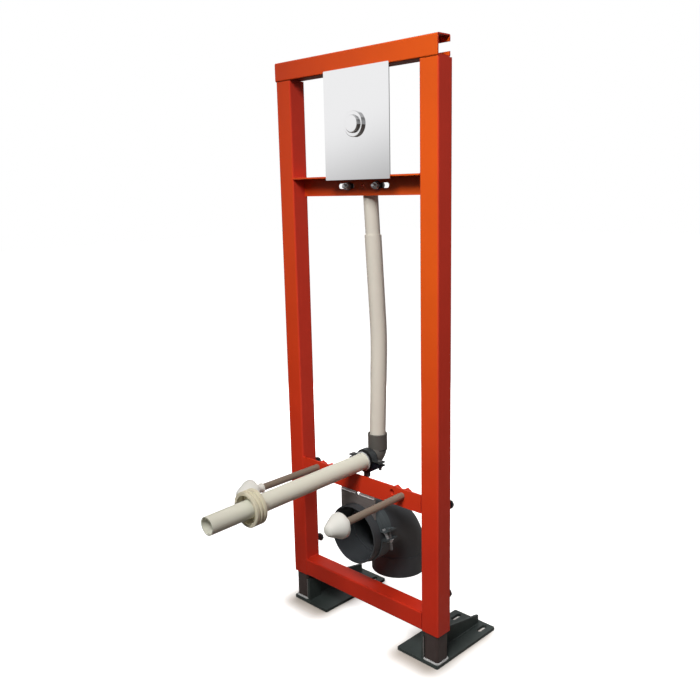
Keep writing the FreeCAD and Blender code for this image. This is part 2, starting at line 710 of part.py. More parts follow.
grow(valve, sk, tube_insert, back=True, cut=True)

# Valve bracket: a plate with the barrel through it, on two lugs bolted to the crossbar
bracket = node("valve_bracket", 0, valve_bar_depth, valve_slot_height)
half = valve_bolt_centre + bracket_lug / 2
gap = valve_bolt_centre - bracket_lug / 2
bracket_rise = plate_middle - valve_slot_height + valve_diameter / 2 + bracket_margin
tail = plate_middle - valve_slot_height
sk = sketch(bracket, "XZ_Plane")
low = -bracket_lug / 2
outline(sk, [(-half, low), (-gap, low), (-gap, tail), (gap, tail), (gap, low), (half, low),
             (half, bracket_rise), (-half, bracket_rise)])
grow(bracket, sk, bracket_thickness, back=True)
sk = sketch(bracket, "XZ_Plane")
circle(sk, plate_offset, plate_middle - valve_slot_height, valve_diameter + seat_gap * 2)
grow(bracket, sk, bracket_thickness, cut=True)
sk = sketch(bracket, "XZ_Plane")
for sign in (-1, 1):
    circle(sk, valve_bolt_centre * sign, 0, valve_bolt_diameter + seat_gap * 2)
grow(bracket, sk, bracket_thickness, cut=True)

# Valve bolts: a stud with washer and nut in front of the web, a nut behind the lug
for side, sign in (("left", -1), ("right", 1)):
    web_front = valve_bar_depth - valve_bar_wall
    bolt = node(side + "_valve_bolt", valve_bolt_centre * sign, web_front, valve_slot_height)
    sk = sketch(bolt, "XZ_Plane")
    circle(sk, 0, 0, valve_washer_diameter)
    grow(bolt, sk, valve_washer_thickness)
    sk = sketch(bolt, "XZ_Plane", valve_washer_thickness)
    hexagon(sk, 0, 0, valve_nut_flats, True)
    grow(bolt, sk, valve_nut_length)
    sk = sketch(bolt, "XZ_Plane", valve_washer_thickness + valve_nut_length + valve_bolt_proud)
    circle(sk, 0, 0, valve_bolt_diameter)
    stack = valve_bar_wall + bracket_thickness
    grow(bolt, sk, stack + valve_washer_thickness + valve_nut_length * 2 + valve_bolt_proud, back=True)
    sk = sketch(bolt, "XZ_Plane", -stack)
    hexagon(sk, 0, 0, valve_nut_flats, True)
    grow(bolt, sk, valve_nut_length, back=True)

# Upper flush tube: leans back from the valve and plugs into the lower tube
tube = node("upper_flush_tube")
spine = sketch(tube, "YZ_Plane")
lap_back = tube_step_back + lean * tube_lap
lap_level = tube_step_height - tube_lap
outline(spine, [(tube_top_back, tube_top), (lap_back, lap_level)], closed=False)
profile = sketch(tube, "XY_Plane", tube_top)
circle(profile, 0, tube_top_back, upper_tube_diameter)
circle(profile, 0, tube_top_back, upper_tube_diameter - tube_wall * 2)
sweep(tube, profile, spine)

# Lower flush tube: belled over the upper one, with a slight knee on its way to the elbow
tube = node("lower_flush_tube")
spine = sketch(tube, "YZ_Plane")
tube_end = elbow_height + elbow_rise - elbow_collar + tube_stop
tube_lean = (tube_knee_back - elbow_back) / (tube_knee_height - tube_end)
end_back = elbow_back - tube_lean * elbow_collar / 2
outline(spine, [(tube_step_back, tube_step_height), (tube_knee_back, tube_knee_height, tube_knee_radius),
                (end_back, tube_end)], closed=False)
profile = sketch(tube, "XY_Plane", tube_step_height)
circle(profile, 0, tube_step_back, lower_tube_diameter)
circle(profile, 0, tube_step_back, upper_tube_diameter + seat_gap * 2)
sweep(tube, profile, spine)

# Elbow from the down tube to the drooping flush pipe
elbow = node("flush_elbow", 0, elbow_back, elbow_height)
sk = sketch(elbow, "XY_Plane", elbow_reach)
circle(sk, 0, 0, elbow_bore)
circle(sk, 0, 0, elbow_bore + elbow_wall * 2)
grow(elbow, sk, elbow_rise - elbow_reach)
sk = sketch(elbow, "XY_Plane", elbow_reach)
circle(sk, 0, 0, elbow_bore)
circle(sk, 0, 0, elbow_bore + elbow_wall * 2)
bend(elbow, sk, elbow_radius, 90 - flush_droop)
sk = sketch(elbow, "XY_Plane", elbow_rise - elbow_collar)
circle(sk, 0, 0, elbow_bore + elbow_wall)
circle(sk, 0, 0, elbow_bore + elbow_collar_wall * 2)
grow(elbow, sk, elbow_collar)

# Flush pipe to the pan, with its ribbed seal ring
pipe = node("flush_pipe", 0, elbow_back, elbow_height, flush_droop)
sk = sketch(pipe, "XZ_Plane", elbow_reach)
circle(sk, 0, 0, flush_diameter)
circle(sk, 0, 0, flush_diameter - flush_wall * 2)
grow(pipe, sk, flush_length)

ring = node("pan_seal_ring", 0, elbow_back, elbow_height, flush_droop)
sk = sketch(ring, "YZ_Plane")
crown = ring_diameter / 2
root = crown - ring_groove
along = -ring_distance
profile = [(along, flush_diameter / 2 + seat_gap)]
for width in (ring_back_rib, ring_middle_rib, ring_front_lip):
    far = along - width
    profile += [(along, root), (along, crown, ring_bevel), (far, crown, ring_bevel), (far, root)]
    along = far - ring_groove
profile[1:2] = []
profile[-1] = (far, ring_bore / 2)
skirt = -ring_distance - ring_skirt
profile += [(skirt, ring_bore / 2), (skirt, profile[0][1])]
outline(sk, profile)
spin(ring, sk, "H_Axis")

# Pipe clip: rubber lining, two strap halves with ears, and the stud that carries it
lining_bore = flush_diameter + seat_gap * 2
strap_bore = lining_bore + clip_lining * 2 + seat_gap * 2
strap = strap_bore + clip_wall * 2
lining = node("clip_lining", 0, elbow_back, elbow_height, flush_droop)
sk = sketch(lining, "XZ_Plane", (elbow_reach + clip_gap))
circle(sk, 0, 0, lining_bore)
circle(sk, 0, 0, lining_bore + clip_lining * 2)
grow(lining, sk, clip_width)
reach = strap / 2 + clip_ear
inset = elbow_reach + clip_gap + (clip_width - clip_strap) / 2
fold = clip_split / 2
for place, sign in (("lower", -1), ("upper", 1)):
    strap_half = node("clip_%s_half" % place, 0, elbow_back, elbow_height, flush_droop)
    sk = sketch(strap_half, "XZ_Plane", inset)
    circle(sk, 0, 0, strap)
    grow(strap_half, sk, clip_strap)
    sk = sketch(strap_half, "XZ_Plane", inset)
    if sign > 0:
        box(sk, -reach, fold, reach, fold + clip_wall)
    else:
        foot = strap / 2 + clip_saddle
        outline(sk, [(-reach, -fold), (-reach, -fold - clip_wall), (-clip_boss_diameter / 2, -foot),
                     (clip_boss_diameter / 2, -foot), (reach, -fold - clip_wall), (reach, -fold)])
    grow(strap_half, sk, clip_strap)
    sk = sketch(strap_half, "XZ_Plane", inset)
    circle(sk, 0, 0, strap_bore)
    grow(strap_half, sk, clip_strap, back=True, cut=True)
    sk = sketch(strap_half, "XZ_Plane", inset)
    if sign > 0:
        box(sk, -reach, -strap, reach, fold)
    else:
        box(sk, -reach, -fold, reach, strap)
    grow(strap_half, sk, clip_strap, back=True, cut=True)

clip_y = elbow_back - (elbow_reach + clip_gap) - clip_width / 2
clip_z = elbow_height - ((elbow_reach + clip_gap) + clip_width / 2) * slope
stud = node("clip_stud", 0, clip_y, pan_bar_base)
stud_top = clip_z - strap / 2 - clip_saddle - pan_bar_base - clip_stud_gap
sk = sketch(stud, "XY_Plane", -clip_stud_tail)
circle(sk, 0, 0, clip_stud_diameter)
grow(stud, sk, stud_top + clip_stud_tail - clip_boss_length)
sk = sketch(stud, "XY_Plane", stud_top - clip_boss_length)
circle(sk, 0, 0, clip_boss_diameter)
grow(stud, sk, clip_boss_length)
sk = sketch(stud, "XY_Plane", pan_bar_wall)
hexagon(sk, 0, 0, clip_boss_diameter, False)
grow(stud, sk, clip_boss_diameter / 2)

# Waste bend: a thin-walled socket in front, stepping in to a bent pipe with a spigot at its foot
waste = node("waste_bend", 0, 0, waste_height)
waste_bore = waste_diameter - waste_wall * 2
bend_start = waste_back - waste_radius
sk = sketch(waste, "XZ_Plane", waste_front)
circle(sk, 0, 0, waste_mouth_diameter)
circle(sk, 0, 0, waste_mouth_diameter - waste_mouth_wall * 2)
grow(waste, sk, waste_front + bend_start, back=True)
sk = sketch(waste, "XZ_Plane", waste_shoulder - bend_start)
circle(sk, 0, 0, waste_mouth_diameter)
circle(sk, 0, 0, waste_bore)
grow(waste, sk, waste_shoulder, back=True)
sk = sketch(waste, "XZ_Plane", -bend_start)
circle(sk, 0, 0, waste_diameter)
circle(sk, 0, 0, waste_bore)
bend(waste, sk, waste_radius, 90)
sk = sketch(waste, "XY_Plane", -waste_radius)
circle(sk, 0, waste_back, waste_diameter)
circle(sk, 0, waste_back, waste_bore)
grow(waste, sk, waste_height - waste_foot - waste_radius, back=True)
sk = sketch(waste, "XY_Plane", waste_foot - waste_height)
circle(sk, 0, waste_back, waste_socket_diameter)
circle(sk, 0, waste_back, waste_diameter - waste_wall)
grow(waste, sk, waste_socket_length)

# Band clamp round the socket, split at the right where its screw draws two ears together
band_bore = waste_mouth_diameter + seat_gap * 2
band_outer = band_bore + band_wall * 2
band_start = hanger_wall - hanger_forward
band = node("waste_band", 0, band_start, waste_height, band_turn, FORWARD)
sk = sketch(band, "XZ_Plane")
circle(sk, 0, 0, band_outer)
grow(band, sk, band_width, back=True)
sk = sketch(band, "XZ_Plane")
ear_top = band_ear_split / 2 + band_wall
tip = band_outer / 2 + band_ear
box(sk, band_bore / 2 - band_ear_split / 2, -ear_top, tip, ear_top)
grow(band, sk, band_width, back=True)
sk = sketch(band, "XZ_Plane")
circle(sk, 0, 0, band_bore)
grow(band, sk, band_width, cut=True)
sk = sketch(band, "XZ_Plane")
box(sk, band_bore / 2 - band_ear_split, -band_ear_split / 2, tip + band_wall, band_ear_split / 2)
grow(band, sk, band_width, cut=True)
screw_x = tip - band_ear / 2
sk = sketch(band, "XY_Plane", ear_top)
circle(sk, screw_x, band_width / 2, band_screw_diameter + seat_gap * 2)
grow(band, sk, ear_top * 2, cut=True)

screw = node("band_screw", 0, band_start, waste_height, band_turn, FORWARD)
sk = sketch(screw, "XY_Plane", ear_top)
hexagon(sk, screw_x, band_width / 2, band_nut_flats, True)
grow(screw, sk, band_nut_length)
sk = sketch(screw, "XY_Plane", ear_top)
circle(sk, screw_x, band_width / 2, band_screw_diameter)
grow(screw, sk, ear_top * 2 + band_screw_tail, back=True)
sk = sketch(screw, "XY_Plane", -ear_top)
hexagon(sk, screw_x, band_width / 2, band_nut_flats, True)
grow(screw, sk, band_nut_length, back=True)

# Hanger: a folded plate under the pan crossbar, welded to the front of the band
hanger = node("waste_hanger", -hanger_width / 2, -hanger_forward, pan_bar_base)
sk = sketch(hanger, "YZ_Plane")
outline(sk, [(0, 0, hanger_bend), (hanger_fold, 0), (hanger_fold, -hanger_wall),
             (hanger_wall, -hanger_wall, hanger_bend - hanger_wall), (hanger_wall, -hanger_drop),
             (0, -hanger_drop)])
grow(hanger, sk, hanger_width)
sk = sketch(hanger, "XZ_Plane")
circle(sk, hanger_width / 2, waste_height - pan_bar_base, band_bore + seat_gap * 2)
grow(hanger, sk, hanger_wall, cut=True)
sk = sketch(hanger, "XZ_Plane")
middle = hanger_width / 2
outline(sk, [(middle - hanger_notch / 2, 0), (middle, -hanger_notch * 0.75), (middle + hanger_notch / 2, 0)])
grow(hanger, sk, hanger_fold, cut=True)

doc.recompute()

os.makedirs("parts", exist_ok=True)
for obj in doc.Objects:
    if "Invalid" in obj.State or "Error" in obj.State:
        raise RuntimeError("%s is %s" % (obj.Name, obj.State))
for obj in doc.Objects:
    if obj.TypeId == "PartDesign::Body":
        if obj.Shape.isNull() or not obj.Shape.isValid():
            raise RuntimeError("%s has no sound shape" % obj.Label)
        obj.Shape.exportStep("parts/%s.step" % obj.Label)
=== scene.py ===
# %% [markdown]
# # Dressing a wall hung toilet frame
# The object is an open steel frame that stands inside a stud wall. It carries a
# flush valve with a push button, the flush pipe, two pan studs and a waste bend.
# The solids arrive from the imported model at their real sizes, so this lesson only
# gives them finishes, adds the small workshop details, and sets up a studio.

# %% Load the solids
import json
import math
import bmesh
import bpy
from mathutils import Matrix, Vector


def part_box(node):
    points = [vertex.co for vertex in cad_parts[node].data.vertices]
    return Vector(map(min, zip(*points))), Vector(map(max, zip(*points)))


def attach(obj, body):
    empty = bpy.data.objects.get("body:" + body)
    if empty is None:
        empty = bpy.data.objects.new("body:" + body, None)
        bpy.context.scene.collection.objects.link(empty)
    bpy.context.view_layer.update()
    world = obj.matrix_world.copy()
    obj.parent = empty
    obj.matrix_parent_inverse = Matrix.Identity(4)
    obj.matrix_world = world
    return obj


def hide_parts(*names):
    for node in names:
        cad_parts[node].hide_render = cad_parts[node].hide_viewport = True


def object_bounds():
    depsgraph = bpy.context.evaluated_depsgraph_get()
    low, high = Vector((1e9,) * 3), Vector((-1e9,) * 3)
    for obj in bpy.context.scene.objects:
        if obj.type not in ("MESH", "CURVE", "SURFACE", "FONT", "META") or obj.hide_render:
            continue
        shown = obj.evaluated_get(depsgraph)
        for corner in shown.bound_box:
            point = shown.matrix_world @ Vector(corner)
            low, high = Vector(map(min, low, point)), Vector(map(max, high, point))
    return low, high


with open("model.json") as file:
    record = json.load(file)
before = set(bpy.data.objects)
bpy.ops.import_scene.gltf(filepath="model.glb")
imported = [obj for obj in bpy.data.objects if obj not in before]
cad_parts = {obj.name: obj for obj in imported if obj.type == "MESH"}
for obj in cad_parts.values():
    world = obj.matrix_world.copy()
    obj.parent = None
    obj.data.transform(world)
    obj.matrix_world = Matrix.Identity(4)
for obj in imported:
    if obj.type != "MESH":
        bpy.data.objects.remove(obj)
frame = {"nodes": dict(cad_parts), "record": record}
cad_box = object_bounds()
solids = frame["nodes"]

# %% [markdown]
# ## Colours and nodes
# A colour given here is an sRGB hex value, while a shader works in linear light,
# so one function turns the one into the other. A second function adds a shader node,
# sets its properties and sockets by name, and links other sockets into it. Every
# material below is written with these two.

# %% Helpers for materials
MM = 0.001
finishes = {}


def linear(code):
    """An sRGB hex colour as linear RGBA."""
    values = [int(code[i:i + 2], 16) / 255 for i in (1, 3, 5)]
    return [v / 12.92 if v <= 0.04045 else ((v + 0.055) / 1.055) ** 2.4 for v in values] + [1.0]


def put(tree, kind, settings=None, links=None):
    """Adds one node, sets what it is told to, and links sockets into it."""
    made = tree.nodes.new(kind)
    for key, value in (settings or {}).items():
        if isinstance(key, int) or key in made.inputs:
            made.inputs[key].default_value = value
        else:
            setattr(made, key, value)
    for key, source in (links or {}).items():
        tree.links.new(source, made.inputs[key])
    return made


def start(name, **sockets):
    """A new material with one shader, and the place of each point in metres."""
    made = bpy.data.materials.new(name)
    made.use_nodes = True
    tree = made.node_tree
    tree.nodes.clear()
    shader = put(tree, "ShaderNodeBsdfPrincipled", {k.replace("_", " "): v for k, v in sockets.items()})
    put(tree, "ShaderNodeOutputMaterial", links={"Surface": shader.outputs[0]})
    place = put(tree, "ShaderNodeTexCoord").outputs["Object"]
    return made, tree, shader, place


def per_metre(size_mm):
    """Texture scale for a pattern whose features are this many millimetres apart."""
    return 1 / (size_mm * MM)


print("a 2 mm grain has a texture scale of", per_metre(2))

# %% [markdown]
# ## Powder coat on the frame
# The frame is mild steel tube and angle, sprayed with polyester powder and baked.
# The film flows into a fine orange peel, so highlights are soft and slightly broken.
# In the studio it reads as orange at the top right, redder towards the feet, the left
# and the sides, and dark underneath. The lamps give part of that; the rest is painted
# light in the colour: the film is painted from red low down to orange high up and to the
# right, faces turned sideways are painted redder, and faces turned down are painted dark
# brown as painted shade. Two noises give the cloudiness of the film and its peel.

# %% Orange-red powder coat
PAINTED_LIGHT_FROM_Z, PAINTED_LIGHT_FULL_Z = 0.18, 0.78
CLOUD_MM, PEEL_MM = 60, 3
half_width = cad_box[1][0]
coat, tree, shader, place = start("powder_coated_steel_orange_red", Specular_IOR_Level=0.2)
point = put(tree, "ShaderNodeSeparateXYZ", links={0: place})
# Painted light: the film turns from red low down to orange high up and to the right, standing in for the
# lamp's fall-off.
rise = put(tree, "ShaderNodeMapRange",
           {"interpolation_type": "SMOOTHSTEP", "From Min": PAINTED_LIGHT_FROM_Z, "From Max": PAINTED_LIGHT_FULL_Z},
           {"Value": point.outputs["Z"]})
across = put(tree, "ShaderNodeMapRange",
             {"From Min": -half_width, "From Max": half_width, "To Min": 0.4, "To Max": 1.0},
             {"Value": point.outputs["X"]})
tint_drift_and_painted_falloff = put(tree, "ShaderNodeMath", {"operation": "MULTIPLY"}, {0: rise.outputs[0], 1: across.outputs[0]})
front = put(tree, "ShaderNodeMix", {"data_type": "RGBA", 6: linear("#D7341E"), 7: linear("#DC5818")},
            {0: tint_drift_and_painted_falloff.outputs[0]})
facing = put(tree, "ShaderNodeSeparateXYZ", links={0: put(tree, "ShaderNodeNewGeometry").outputs["Normal"]})
# Painted shade: faces turned sideways are painted redder.
painted_side_shade = put(tree, "ShaderNodeMath", {"operation": "ABSOLUTE"}, {0: facing.outputs["X"]})
tone = put(tree, "ShaderNodeMix", {"data_type": "RGBA", 7: linear("#D93F2E")},
           {0: painted_side_shade.outputs[0], 6: front.outputs[2]})
# Painted shade: faces turned down are painted dark brown, under the rails and inside the top rail's channel.
painted_underside_shade = put(tree, "ShaderNodeMapRange", {"From Min": -0.3, "From Max": -0.9, "To Max": 0.8},
            {"Value": facing.outputs["Z"]})
tone = put(tree, "ShaderNodeMix", {"data_type": "RGBA", 7: linear("#2E1610")},
           {0: painted_underside_shade.outputs[0], 6: tone.outputs[2]})
cloud = put(tree, "ShaderNodeTexNoise", {"Scale": per_metre(CLOUD_MM), "Detail": 3}, {"Vector": place})
shade = put(tree, "ShaderNodeMapRange", {"To Min": 0.92, "To Max": 1.07}, {"Value": cloud.outputs[0]})
film_and_painted_light = put(tree, "ShaderNodeMix", {"data_type": "RGBA", "blend_type": "MULTIPLY", 0: 1.0},
           {6: tone.outputs[2], 7: shade.outputs[0]})
tree.links.new(film_and_painted_light.outputs[2], shader.inputs["Base Color"])
peel = put(tree, "ShaderNodeTexNoise", {"Scale": per_metre(PEEL_MM), "Detail": 2}, {"Vector": place})
gloss = put(tree, "ShaderNodeMapRange", {"To Min": 0.38, "To Max": 0.50}, {"Value": cloud.outputs[0]})
tree.links.new(gloss.outputs[0], shader.inputs["Roughness"])
relief = put(tree, "ShaderNodeBump", {"Strength": 0.10, "Distance": 0.15 * MM}, {"Height": peel.outputs[0]})
tree.links.new(relief.outputs[0], shader.inputs["Normal"])
finishes["frame_paint"] = coat
print("made", coat.name)

# %% [markdown]
# ## Dark steel of the feet
# Each foot is a hot rolled base plate and a drawn tube, dipped in thin black lacquer.
# The plate is drawn with a cool green cast, and the tube browner.
# The lacquer is semi-gloss and thin, so faint blotches of the scale show through it.

# %% Lacquered plate and lacquered tube
BLOTCH_MM, GRIT_MM = 18, 1.6
for slot_name, dark, pale, shine in (("foot_plate", "#333A39", "#485150", 0.38),
                                     ("foot_tube", "#3E3332", "#4F4443", 0.36)):
    made, tree, shader, place = start("black_lacquered_steel_" + slot_name.split("_")[1],
                                      Specular_IOR_Level=0.3)
    scale = put(tree, "ShaderNodeTexNoise", {"Scale": per_metre(BLOTCH_MM), "Detail": 6, "Roughness": 0.6},
                {"Vector": place})
    mix = put(tree, "ShaderNodeMix", {"data_type": "RGBA", 6: linear(dark), 7: linear(pale)},
              {0: scale.outputs[0]})
    tree.links.new(mix.outputs[2], shader.inputs["Base Color"])
    gloss = put(tree, "ShaderNodeMapRange", {"To Min": shine - 0.06, "To Max": shine + 0.14},
                {"Value": scale.outputs[0]})
    tree.links.new(gloss.outputs[0], shader.inputs["Roughness"])
    grit = put(tree, "ShaderNodeTexNoise", {"Scale": per_metre(GRIT_MM), "Detail": 2}, {"Vector": place})
    relief = put(tree, "ShaderNodeBump", {"Strength": 0.12, "Distance": 0.15 * MM},
                 {"Height": grit.outputs[0]})
    tree.links.new(relief.outputs[0], shader.inputs["Normal"])
    finishes[slot_name] = made
finishes["foot_steel"] = finishes["foot_plate"]
print("made", finishes["foot_plate"].name, "and", finishes["foot_tube"].name)

# %% [markdown]
# ## Polished chrome
# The flush plate, its collar and the button are brass and steel, polished and plated
# with chrome. The surface is nearly a mirror, so it mostly shows the studio. A very
# fine polish grain along the plate spreads the reflection a little. The grain of the
# real polish is far below a millimetre; here it is drawn 2 mm wide so that it shows.

# %% Chrome
GRAIN_MM, GRAIN_DRAW = 2.0, 0.04
chrome, tree, shader, place = start("chrome_plate_polished", Metallic=1.0, Base_Color=linear("#EFEFF0"))
stretch = put(tree, "ShaderNodeMapping", {"Scale": (1.0, 1.0, GRAIN_DRAW)}, {"Vector": place})
grain = put(tree, "ShaderNodeTexNoise", {"Scale": per_metre(GRAIN_MM), "Detail": 3},
            {"Vector": stretch.outputs[0]})
gloss = put(tree, "ShaderNodeMapRange", {"To Min": 0.05, "To Max": 0.10}, {"Value": grain.outputs[0]})
tree.links.new(gloss.outputs[0], shader.inputs["Roughness"])
finishes["chrome"] = chrome
finishes["brass"] = chrome
print("made", chrome.name)

# %% [markdown]
# ## Bare, plated and blackened steel
# Small fasteners are cold formed steel with a zinc skin, bright on the nuts and dull on
# the threaded rods. The bright zinc and the bare weld are drawn in near-white tones at a
# low metallic, so part of their shine is a painted highlight in the colour. The hanger is
# rolled sheet with streaks along its length, the clip and the band are pressed strip, and
# the leg bolts are phosphated black. All are one recipe: a spangle and a haze between two
# tones, with the haze also driving the gloss, and a stretch that draws the haze out along
# the rolling direction. Each row of the table gives a dark and a pale tone, how metallic
# and how rough it is, and the stretch.

# %% Steels
SPANGLE_MM, HAZE_MM, SPANGLE_SHARE = 2.5, 4, 0.35
EVEN = (1, 1, 1)
steels = {
    "zinc": ("zinc_plated_steel_dull", "#6E6E6E", "#9A9A9A", 0.8, 0.30, EVEN),
    # Painted highlight: bright zinc and bare weld are near white at a low metallic, so they shine by their
    # colour.
    "bright_zinc": ("zinc_plated_steel_bright_painted_glint", "#B4B7BA", "#E2E4E6", 0.5, 0.24, EVEN),
    "bare_weld": ("weld_metal_bare_painted_glint", "#A4A6A9", "#E4E5E6", 0.35, 0.30, EVEN),
    "rolled_zinc": ("zinc_dipped_sheet_rolled", "#6A6160", "#8A8280", 0.35, 0.40, (0.05, 1, 1)),
    "strap_steel": ("pressed_strip_zinc", "#34383B", "#575B5E", 0.6, 0.32, EVEN),
    "saddle_steel": ("pressed_strip_blued", "#15171F", "#232734", 0.6, 0.32, EVEN),
    "black_steel": ("phosphated_black_steel", "#33363A", "#4E5256", 0.3, 0.34, EVEN),
    "band_steel": ("pressed_band_dark", "#3A4043", "#5F676B", 0.3, 0.40, (0.04, 1.6, 0.04)),
}
for slot_name, (title, dark, pale, metal, rough, draw) in steels.items():
    made, tree, shader, place = start(title, Metallic=metal)
    drawn = put(tree, "ShaderNodeMapping", {"Scale": draw}, {"Vector": place})
    spangle = put(tree, "ShaderNodeTexVoronoi", {"Scale": per_metre(SPANGLE_MM)},
                  {"Vector": drawn.outputs[0]})
    haze = put(tree, "ShaderNodeTexNoise", {"Scale": per_metre(HAZE_MM), "Detail": 4},
               {"Vector": drawn.outputs[0]})
    blend = put(tree, "ShaderNodeMath", {"operation": "MULTIPLY_ADD", 1: SPANGLE_SHARE},
                {0: spangle.outputs["Distance"], 2: haze.outputs[0]})
    mix = put(tree, "ShaderNodeMix", {"data_type": "RGBA", 6: linear(dark), 7: linear(pale)},
              {0: blend.outputs[0]})
    tree.links.new(mix.outputs[2], shader.inputs["Base Color"])
    gloss = put(tree, "ShaderNodeMapRange", {"To Min": rough - 0.08, "To Max": rough + 0.12},
                {"Value": haze.outputs[0]})
    tree.links.new(gloss.outputs[0], shader.inputs["Roughness"])
    finishes[slot_name] = made
print("made", len(steels), "steels")

# %% [markdown]
# ## Moulded and extruded plastics
# Pipes are extruded PVC, caps are moulded polypropylene, the bend is blow moulded
# polyethylene and the seals are rubber. They differ in colour, gloss and in the size
# of the surface texture that their mould or die leaves, so one loop builds them all
# from a table: dark tone, pale tone, roughness, texture size in millimetres, relief.

# %% Plastics and rubbers
TINT_MM = 40
plastics = {
    "white_pvc": ("pvc_extruded_off_white", "#D6D1C7", "#DFDAD0", 0.42, 6.0, 0.03),
    "pipe_pvc": ("pvc_extruded_ivory_white", "#E3E3D5", "#EBEBDE", 0.42, 6.0, 0.03),
    "grey_pvc": ("pvc_moulded_dark_grey", "#54524F", "#62605C", 0.42, 2.0, 0.06),
    "cream_rubber": ("rubber_moulded_cream", "#D9D3BC", "#E5DFC9", 0.55, 3.0, 0.08),
    "black_rubber": ("rubber_moulded_black", "#131415", "#202223", 0.50, 2.0, 0.08),
    "grey_sleeve": ("polyethylene_sleeve_taupe", "#84776A", "#938679", 0.46, 4.0, 0.05),
    "white_cap": ("polypropylene_moulded_white", "#E6E6E1", "#EDEDE9", 0.42, 3.0, 0.03),
    "black_plastic": ("polyethylene_moulded_black", "#3B3E42", "#474A4E", 0.44, 2.5, 0.08),
}
for slot_name, (title, dark, pale, rough, texture, bump) in plastics.items():
    made, tree, shader, place = start(title, Specular_IOR_Level=0.4)
    tint_drift_and_painted_falloff = put(tree, "ShaderNodeTexNoise", {"Scale": per_metre(TINT_MM), "Detail": 4}, {"Vector": place})
    mix = put(tree, "ShaderNodeMix", {"data_type": "RGBA", 6: linear(dark), 7: linear(pale)},
              {0: tint_drift_and_painted_falloff.outputs[0]})
    tree.links.new(mix.outputs[2], shader.inputs["Base Color"])
    skin_grain = put(tree, "ShaderNodeTexNoise", {"Scale": per_metre(texture), "Detail": 3},
                     {"Vector": place})
    gloss = put(tree, "ShaderNodeMapRange", {"To Min": rough - 0.06, "To Max": rough + 0.06},
                {"Value": skin_grain.outputs[0]})
    tree.links.new(gloss.outputs[0], shader.inputs["Roughness"])
    relief = put(tree, "ShaderNodeBump", {"Strength": bump, "Distance": 0.2 * MM},
                 {"Height": skin_grain.outputs[0]})
    tree.links.new(relief.outputs[0], shader.inputs["Normal"])
    finishes[slot_name] = made
print("made", len(plastics), "plastics")

# %% [markdown]
# ## Finishes on the solids
# The record says which finish each solid takes, and a few solids of the same stock
# get a finish of their own. A narrow bevel modifier breaks the sharp arrises, because
# a real edge always catches a thin line of light.

# %% Put the finishes on the solids
slot_of_node = {row["node"]: row["material_slot"] for row in frame["record"]["subparts"]}
OWN_FINISH = {"waste_hanger": "rolled_zinc", "clip_upper_half": "strap_steel",
              "clip_lower_half": "saddle_steel", "clip_stud": "black_steel",
              "flush_pipe": "pipe_pvc", "left_leg": "foot_tube", "right_leg": "foot_tube"}
EDGE_MM = {"frame_paint": 0.7, "chrome": 0.4, "foot_steel": 0.8, "black_plastic": 0.8,
           "grey_pvc": 0.6, "zinc": 0.3, "band_steel": 0.4, "white_pvc": 0.4}
ARRIS_DEGREES = 40
for name, solid in solids.items():
    slot_name = slot_of_node[name]
    solid.data.materials.clear()
    solid.data.materials.append(finishes[OWN_FINISH.get(name, slot_name)])
    if slot_name in EDGE_MM:
        soft = solid.modifiers.new("arris", "BEVEL")
        soft.width = EDGE_MM[slot_name] * MM
        soft.segments = 2
        soft.limit_method = "ANGLE"
        soft.angle_limit = math.radians(ARRIS_DEGREES)
        soft.harden_normals = True
print("finished", len(solids), "solids")

# %% [markdown]
# ## A way to make turned and threaded things
# Nuts, bolt heads, threads, washers and weld beads can all be seen as a stack of
# rings of points, each joined to the next. One function makes a ring, whose radius
# and height may depend on the angle, and one joins rings into a closed skin. That
# gives real geometry for every small part, without one primitive left as it came.

# %% Rings and skins
AROUND = 48
SHARP_DEGREES = 38


def ring(radius, height, count=AROUND):
    """Points round the z axis; radius and height are numbers or functions of the angle."""
    points = []
    for i in range(count):
        angle = 2 * math.pi * i / count
        far = radius(angle) if callable(radius) else radius
        rise = height(angle) if callable(height) else height
        points.append(Vector((far * math.cos(angle), far * math.sin(angle), rise)))
    return points


def skin(made, rings, loop=False):
    """Joins each ring to the next, and either closes the stack on itself or caps its ends."""
    rows = [[made.verts.new(point) for point in points] for points in rings]
    for low, high in zip(rows, rows[1:] + rows[:1] if loop else rows[1:]):
        for i in range(len(low)):
            made.faces.new((low[i - 1], low[i], high[i], high[i - 1]))
    if not loop:
        made.faces.new(rows[0][::-1])
        made.faces.new(rows[-1])


def stand(x, y, z, axis):
    """A move to a place in millimetres that also lays the local z axis along another."""
    turn = Vector(axis).to_track_quat("Z", "Y").to_matrix().to_4x4()
    return Matrix.Translation(Vector((x, y, z)) * MM) @ turn


def piece(name, made, finish, body="frame", place=Matrix(), instead_of=()):
    """Makes an object of a mesh drawn in millimetres, and lets it ride on a body."""
    bmesh.ops.recalc_face_normals(made, faces=made.faces)
    bmesh.ops.transform(made, matrix=place @ Matrix.Scale(MM, 4), verts=made.verts)
    mesh = bpy.data.meshes.new(name)
    made.to_mesh(mesh)
    made.free()
    mesh.shade_smooth()
    mesh.set_sharp_from_angle(angle=math.radians(SHARP_DEGREES))
    mesh.materials.append(finishes[finish])
    thing = bpy.data.objects.new(name, mesh)
    bpy.context.scene.collection.objects.link(thing)
    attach(thing, body)
    if instead_of:
        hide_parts(*instead_of)


def corners(node):
    """Lowest and highest corner of a solid, in millimetres."""
    return [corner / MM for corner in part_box(node)]


print("a ring has", len(ring(5, 0)), "points")

# %% [markdown]
# ## Hexagons, threads and washers
# A hexagon nut is turned from bar, so its flats end in the arcs of a turned chamfer.
# Those arcs appear by themselves when the height of the side falls with the distance
# from the axis. A thread is a stack of rings whose radius depends on height and angle
# together, which winds the crest round the shank. Real pitches are used: 1.5 mm on a
# 10 mm thread, 1.25 mm on 8 mm and 1 mm on 6 mm.

